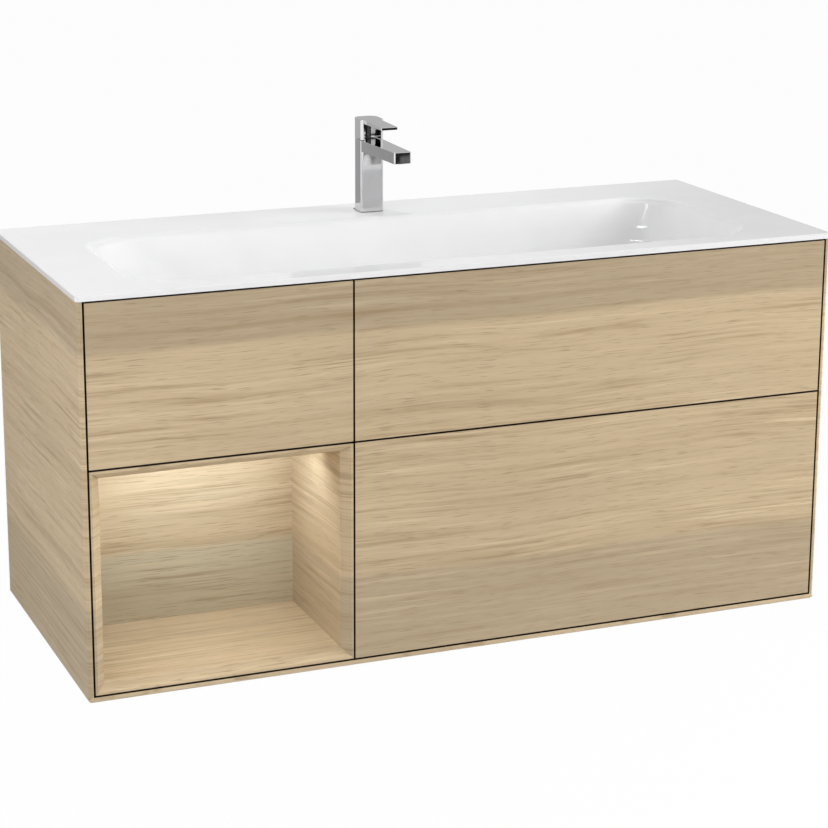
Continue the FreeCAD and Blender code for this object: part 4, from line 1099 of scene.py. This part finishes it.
@dataclass
class Waste:
    """Push-open waste in the bowl's floor."""

    seat: float = 496.0
    flange: float = 3.0
    plug_radius: float = 30.0
    plug_edge: float = 2.5
    plug_round: float = 1.0
    crown: float = 2.0
    stem_radius: float = 4.0
    stem_length: float = 44.0
    stem_chamfer: float = 0.6
    plug_segments: int = 72
    edge_steps: int = 6
    dome_steps: int = 12
    dome_middle: float = 0.5
    nut_bore: float = 22.1
    nut_top: float = 490.5
    nut_height: float = 12.0
    nut_radius: float = 31.0
    nut_chamfer: float = 1.0
    nut_segments: int = 144

    def build(self) -> None:
        """Builds the plug and the nut, and dresses the body."""
        dress(Finish.CHROME, "waste_body")
        self.build_plug()
        self.build_nut()

    def build_plug(self) -> None:
        """Stem and disc turned about Z, with a rounded edge and a crown that falls as the radius squared."""
        base, edge = self.seat + self.flange, self.plug_round
        turn = arc_steps(0, 90, self.edge_steps)
        rim = np.stack([self.plug_radius - edge + edge * np.cos(turn),
                        base + self.plug_edge - edge + edge * np.sin(turn)], -1)
        radius = np.linspace(self.plug_radius - edge, self.dome_middle, self.dome_steps)[1:]
        fall = 1 - (radius / (self.plug_radius - edge)) ** 2
        dome = np.stack([radius, base + self.plug_edge + self.crown * fall], -1)
        foot = base - self.stem_length
        stem = np.array([[self.stem_radius - self.stem_chamfer, foot],
                         [self.stem_radius, foot + self.stem_chamfer],
                         [self.stem_radius, base], [self.plug_radius, base]])
        loops = about_drain(np.concatenate([stem, rim, dome]), self.plug_segments)
        surface = Surface("waste_plug_piece").loft(loops)
        surface.build(Finish.CHROME, "waste_plug", "chrome", "waste_plug")

    def build_nut(self) -> None:
        """A ribbed ring under the bowl."""
        top, low, chamfer = self.nut_top, self.nut_top - self.nut_height, self.nut_chamfer
        profile = [(self.nut_bore, top), (self.nut_bore, low), (self.nut_radius - chamfer, low),
                   (self.nut_radius, low + chamfer), (self.nut_radius, top - chamfer),
                   (self.nut_radius - chamfer, top)]
        loops = about_drain(profile, self.nut_segments, ribs=24, rib_depth=1.2,
                            ribbed=np.array([0, 0, 0.6, 1, 1, 0.6]))
        surface = Surface("waste_nut_piece").loft(loops, wrap=True)
        surface.build(Finish.WHITE_PLASTIC, "cabinet", "trap_plastic", "waste_nut")


@dataclass
class BottleTrap:
    """White bottle trap under the waste, with ribbed nuts and an outlet into the wall."""

    top: float = 352.0
    joint: float = 296.0
    cup_low: float = 224.0
    radius: float = 32.0
    wall: float = 3.0
    shoulder: float = 5.0
    outlet_z: float = 328.0
    stub_end: float = -195.0
    stub_radius: float = 19.0
    pipe_radius: float = 16.0
    pipe_wall: float = 1.5
    pipe_entry: float = 14.0
    waste_end: float = 419.0
    waste_radius: float = 22.0
    nut_height: float = 24.0
    nut_wall: float = 7.0
    nut_chamfer: float = 1.5
    clearance: float = 0.1
    cup_growth: float = 3.0
    cup_middle: float = 2.0
    cup_side: tuple[Pair, ...] = ((-8.0, 0.0), (-3.0, 1.6), (-0.6, 6.0), (0.0, 10.0), (0.0, 12.0),
                                  (0.0, 44.0), (0.0, 46.0))
    collar_rise: float = 10.0
    collar_edge: float = 1.0
    dip_rise: float = 34.0
    stub_overlap: float = 6.0
    outlet_play: float = 0.3
    shoulder_steps: int = 8
    segments: int = 96
    level_segments: int = 80
    cup_segments: int = 144
    nut_segments: int = 132

    def build(self) -> None:
        """Builds the cup, the body, both pipes and both nuts."""
        self.build_cup()
        self.build_body()
        self.build_pipes()
        self.build_nuts()

    def level(self, profile: list[Pair], segments: int, **ribs: object) -> np.ndarray:
        """Rings turned about the outlet's axis, with the profile's second value as the place along Y."""
        loops = turned_loops(np.array(profile, float), segments, **ribs)
        return np.stack([loops[..., 0], loops[..., 2], loops[..., 1] + self.outlet_z], -1)

    def finish(self, surface: Surface, node: str) -> None:
        """Builds a surface of white plastic in place of a node of the cabinet."""
        surface.build(Finish.WHITE_PLASTIC, "cabinet", "trap_plastic", node)

    def build_cup(self) -> None:
        """Cup with a rounded bottom, a ribbed grip and a collar."""
        low, outer, inner = self.cup_low, self.radius + self.cup_growth, self.radius - self.wall
        collar, seat, edge = self.joint + self.collar_rise, self.radius + self.clearance, self.collar_edge
        profile = [(self.cup_middle, low), *((outer + step, low + rise) for step, rise in self.cup_side),
                   (outer, collar - edge), (outer - edge, collar), (seat, collar), (seat, self.joint),
                   (inner, self.joint), (inner, low + self.wall), (self.cup_middle, low + self.wall)]
        ribbed = np.zeros(len(profile))
        ribbed[5:7] = 1.0
        loops = about_drain(profile, self.cup_segments, ribs=30, rib_depth=1.0, ribbed=ribbed)
        self.finish(Surface("trap_cup_piece").loft(loops), "trap_cup")

    def build_body(self) -> None:
        """Turned shell with a rounded shoulder, and the side stub."""
        turn, bend = arc_steps(90, 0, self.shoulder_steps), self.shoulder
        shoulder = np.stack([self.radius - bend + bend * np.cos(turn),
                             self.top - bend + bend * np.sin(turn)], -1)
        bore, inner = self.pipe_radius + self.clearance, self.radius - self.wall
        profile = [(bore, self.top - self.wall), (bore, self.top), *shoulder, (self.radius, self.joint),
                   (inner, self.joint), (inner, self.top - self.wall)]
        root, end, wide = DRAIN_Y + self.radius - self.stub_overlap, self.stub_end, self.stub_radius
        stub = [(bore, root), (wide, root), (wide, end), (bore, end)]
        surface = Surface("trap_body_piece").loft(about_drain(profile, self.segments), wrap=True)
        self.finish(surface.loft(self.level(stub, self.level_segments), wrap=True), "trap_body")

    def build_pipes(self) -> None:
        """Builds the dip pipe and the outlet pipe as tubes with a wall."""
        inner, outer = self.pipe_radius - self.pipe_wall, self.pipe_radius
        low, high = self.cup_low + self.dip_rise, self.waste_end + self.pipe_entry
        dip = about_drain([(inner, low), (outer, low), (outer, high), (inner, high)], self.segments)
        self.finish(Surface("trap_inlet_pipe_piece").loft(dip, wrap=True), "trap_inlet_pipe")
        start, step = self.stub_end - self.pipe_entry, self.stub_end + self.nut_height / 2
        slim = outer - self.outlet_play
        outlet = [(inner, start), (slim, start), (slim, step), (outer, step), (outer, 0.0), (inner, 0.0)]
        level = self.level(outlet, self.level_segments)
        self.finish(Surface("trap_outlet_pipe_piece").loft(level, wrap=True), "trap_outlet_pipe")

    def nut(self, sleeve: float, centre: float) -> list[Pair]:
        """Profile of a coupling nut.

        Args:
            sleeve: Radius of the sleeve that it grips.
            centre: Middle of the nut along its axis.

        Returns:
            Pairs of radius and place along the axis.
        """
        half, outer, chamfer = self.nut_height / 2, sleeve + self.nut_wall, self.nut_chamfer
        narrow, wide = self.pipe_radius + self.clearance, sleeve + self.clearance
        return [(narrow, centre), (narrow, centre - half), (outer - chamfer, centre - half),
                (outer, centre - half + chamfer), (outer, centre + half - chamfer),
                (outer - chamfer, centre + half), (wide, centre + half), (wide, centre)]

    def build_nuts(self) -> None:
        """Both coupling nuts as one piece, the rear one turned end for end."""
        rear = [(radius, 2 * self.stub_end - place)
                for radius, place in self.nut(self.stub_radius, self.stub_end)]
        ribs = {"ribs": 22, "rib_depth": 1.3, "ribbed": np.array([0, 0, 0.4, 1, 1, 0.4, 0, 0])}
        upper = about_drain(self.nut(self.waste_radius, self.waste_end), self.nut_segments, **ribs)
        surface = Surface("trap_nuts_piece").loft(upper, wrap=True)
        self.finish(surface.loft(self.level(rear, self.nut_segments, **ribs), wrap=True), "trap_nuts")


# Studio

def stage_plane(name: str, corners: tuple[Triple, ...]) -> bpy.types.Object:
    """A flat plane of the stage.

    Args:
        name: Name of the plane.
        corners: Its corners in order.

    Returns:
        The plane.
    """
    mesh = bpy.data.meshes.new(name)
    mesh.from_pydata(corners, [], [tuple(range(len(corners)))])
    plane = bpy.data.objects.new(name, mesh)
    bpy.context.scene.collection.objects.link(plane)
    return plane


def upright(y: float, across: Pair, level: Pair) -> tuple[Triple, ...]:
    """Corners of an upright plane square to Y, between two places across and two heights."""
    (left, right), (low, high) = across, level
    return (left, y, low), (right, y, low), (right, y, high), (left, y, high)


def show_white(graph: Graph, output: str, lit: bpy.types.Node, white: bpy.types.Node,
               most: float = 1.0) -> None:
    """Shows one node to camera, glossy and transmission rays, and another to the rest.

    Args:
        graph: Nodes of a material or of the world.
        output: Name of the output node.
        lit: Node that light falls on or comes from.
        white: Node that is seen.
        most: Share of the white node where it is seen.
    """
    path = graph.add("LightPath").outputs
    seen = graph.sum("MAXIMUM", path["Is Camera Ray"], path["Is Glossy Ray"])
    seen = graph.sum("MAXIMUM", seen, path["Is Transmission Ray"])
    blend = graph.add("MixShader", graph.sum("MULTIPLY", seen, most), lit.outputs[0], white.outputs[0])
    graph.feed(graph.nodes[output].inputs["Surface"], blend.outputs[0])


@dataclass(frozen=True)
class SoftLamp:
    """A rectangular soft lamp that mirrors don't show."""

    name: str
    place: Triple
    target: Triple
    size: Pair
    watts: float

    def build(self) -> None:
        """Hangs the lamp and turns it to its target."""
        aim = (Vector(self.target) - Vector(self.place)).to_track_quat("-Z", "Y").to_euler()
        area_lamp(self.name, self.place, aim, self.size, self.watts).visible_glossy = False


@dataclass(frozen=True)
class Card:
    """A card that only mirrors see, whose brightness runs smoothly between two ends over a span of X."""

    name: str
    corners: tuple[Triple, ...]
    ends: Pair
    span: Pair = (0.0, 1.0)

    def build(self) -> None:
        """Builds the card and its glow."""
        card = stage_plane(self.name, self.corners)
        graph = MaterialGraph(self.name)
        graph.nodes.remove(graph.shader)
        glow = graph.add("Emission")
        graph.feed(glow.inputs["Strength"], graph.ramp(graph.axes()[0], *self.span, *self.ends))
        graph.feed(graph.nodes["Material Output"].inputs["Surface"], glow.outputs[0])
        card.data.materials.append(graph.material)
        for rays in ("camera", "diffuse", "transmission", "volume_scatter", "shadow"):
            setattr(card, f"visible_{rays}", False)


@dataclass
class Studio:
    """Camera, soft light, pale floor, white surround and the cards that the chrome mirrors."""

    eye: Triple = (-1.376, -3.600, 0.797)
    yaw_deg: float = 21.4
    pitch_deg: float = 14.3
    lens: float = 103.4
    sensor: float = 36.0
    shift: Pair = (0.0483, -0.0773)
    floor_z: float = -1.3
    floor_half: float = 30.0
    floor_colour: Colour = (0.90, 0.90, 0.90)
    floor_white: float = 0.96
    surround: float = 0.55
    lamps: tuple[SoftLamp, ...] = (
        SoftLamp("key_softbox", (3.6, -1.65, 1.02), (0.0, -0.3, -0.1), (2.0, 1.8), 138.0),
        SoftLamp("side_fill", (-1.6, -1.14, 0.63), (-0.3, -0.3, -0.1), (1.0, 1.1), 10.0),
        SoftLamp("rear_softbox", (-0.8, 1.6, 1.65), (0.0, -0.25, 0.0), (0.3, 0.3), 15.0),
    )
    cards: tuple[Card, ...] = (
        Card("spout_flag", upright(-1.6, (0.05, 0.75), (-0.115, 0.12)), (0.02, 0.02)),
        Card("tip_card", upright(-1.59, (0.548, 0.65), (-0.100, -0.0755)), (0.165, 0.165)),
        Card("under_spout_card", ((0.580, -1.59, -0.105), (0.589, -1.59, -0.145), (0.602, -1.59, -0.105)),
             (0.16, 0.16)),
        Card("front_screen", upright(-1.6, (0.3, 0.9), (-0.25, -0.115)), (0.95, 0.42), (0.573, 0.613)),
        Card("tap_backdrop", upright(0.0, (-0.11, 0.12), (0.172, 0.36)), (0.54, 0.54)),
        Card("edge_card", ((-1.6, -4.9, -1.29), (-1.6, 1.2, -1.29), (-1.6, 1.2, 0.25), (-1.6, -4.9, 0.25)),
             (1.2, 1.2)),
        Card("rear_screen", upright(4.0, (-5.0, 7.0), (0.0, 5.0)), (0.95, 0.5), (1.9, 3.2)),
        Card("low_screen", upright(1.3, (-3.0, -0.2), (-1.29, 0.0)), (0.2, 0.42), (-1.0, -0.6)),
        Card("glint_card", ((-0.61, -0.34, 1.73), (-0.50, -0.66, 1.73), (-0.22, -0.57, 1.88),
                            (-0.32, -0.25, 1.88)), (12.0, 12.0)),
    )

    def build(self) -> None:
        """Sets up the camera, the lamps, the floor, the surround and the cards."""
        bpy.context.scene.view_settings.view_transform = "Standard"
        self.build_camera()
        for lamp in self.lamps:
            lamp.build()
        self.build_floor()
        self.build_world()
        for card in self.cards:
            card.build()
        LOG.info("studio ready")

    def build_camera(self) -> None:
        """Puts the camera at the photograph's angle."""
        camera = bpy.data.cameras.new("camera")
        camera.lens = self.lens
        camera.sensor_width = self.sensor
        camera.shift_x, camera.shift_y = self.shift
        holder = bpy.data.objects.new("camera", camera)
        holder.location = self.eye
        holder.rotation_euler = (math.radians(90 - self.pitch_deg), 0.0, -math.radians(self.yaw_deg))
        bpy.context.scene.collection.objects.link(holder)
        bpy.context.scene.camera = holder

    def build_world(self) -> None:
        """White where it is seen, and a plain even light elsewhere."""
        world = bpy.data.worlds.new("surround")
        world.use_nodes = True
        bpy.context.scene.world = world
        graph = Graph(world.node_tree)
        light, white = graph.nodes["Background"], graph.add("Background")
        for background, strength in ((light, self.surround), (white, 1.0)):
            graph.feed(background.inputs["Color"], (1.0, 1.0, 1.0))
            graph.feed(background.inputs["Strength"], strength)
        show_white(graph, "World Output", light, white)

    def build_floor(self) -> None:
        """A pale floor that is nearly white where it is seen and keeps a faint shadow."""
        half, z = self.floor_half, self.floor_z
        floor = stage_plane("floor", ((-half, -half, z), (half, -half, z), (half, half, z), (-half, half, z)))
        graph = MaterialGraph("pale_floor")
        graph.put(Base_Color=self.floor_colour, Roughness=0.9, Specular_IOR_Level=0.0)
        show_white(graph, "Material Output", graph.shader, graph.add("Emission"), self.floor_white)
        floor.data.materials.append(graph.material)


def main() -> None:
    """Builds every sub-assembly in order, then the studio."""
    logging.basicConfig(level=logging.INFO, format="%(name)s: %(message)s")
    Carcass().build()
    LitNiche().build()
    for name in ("upper_left_drawer", "upper_right_drawer", "lower_right_drawer"):
        Drawer(name).build()
    dress(Finish.BOARD_DEEP, "trap_recess_wall")
    for unit in (Washbasin(), Tap(), Waste(), BottleTrap(), Studio()):
        unit.build()
    LOG.info("boxes written")


if __name__ == "__main__":
    main()
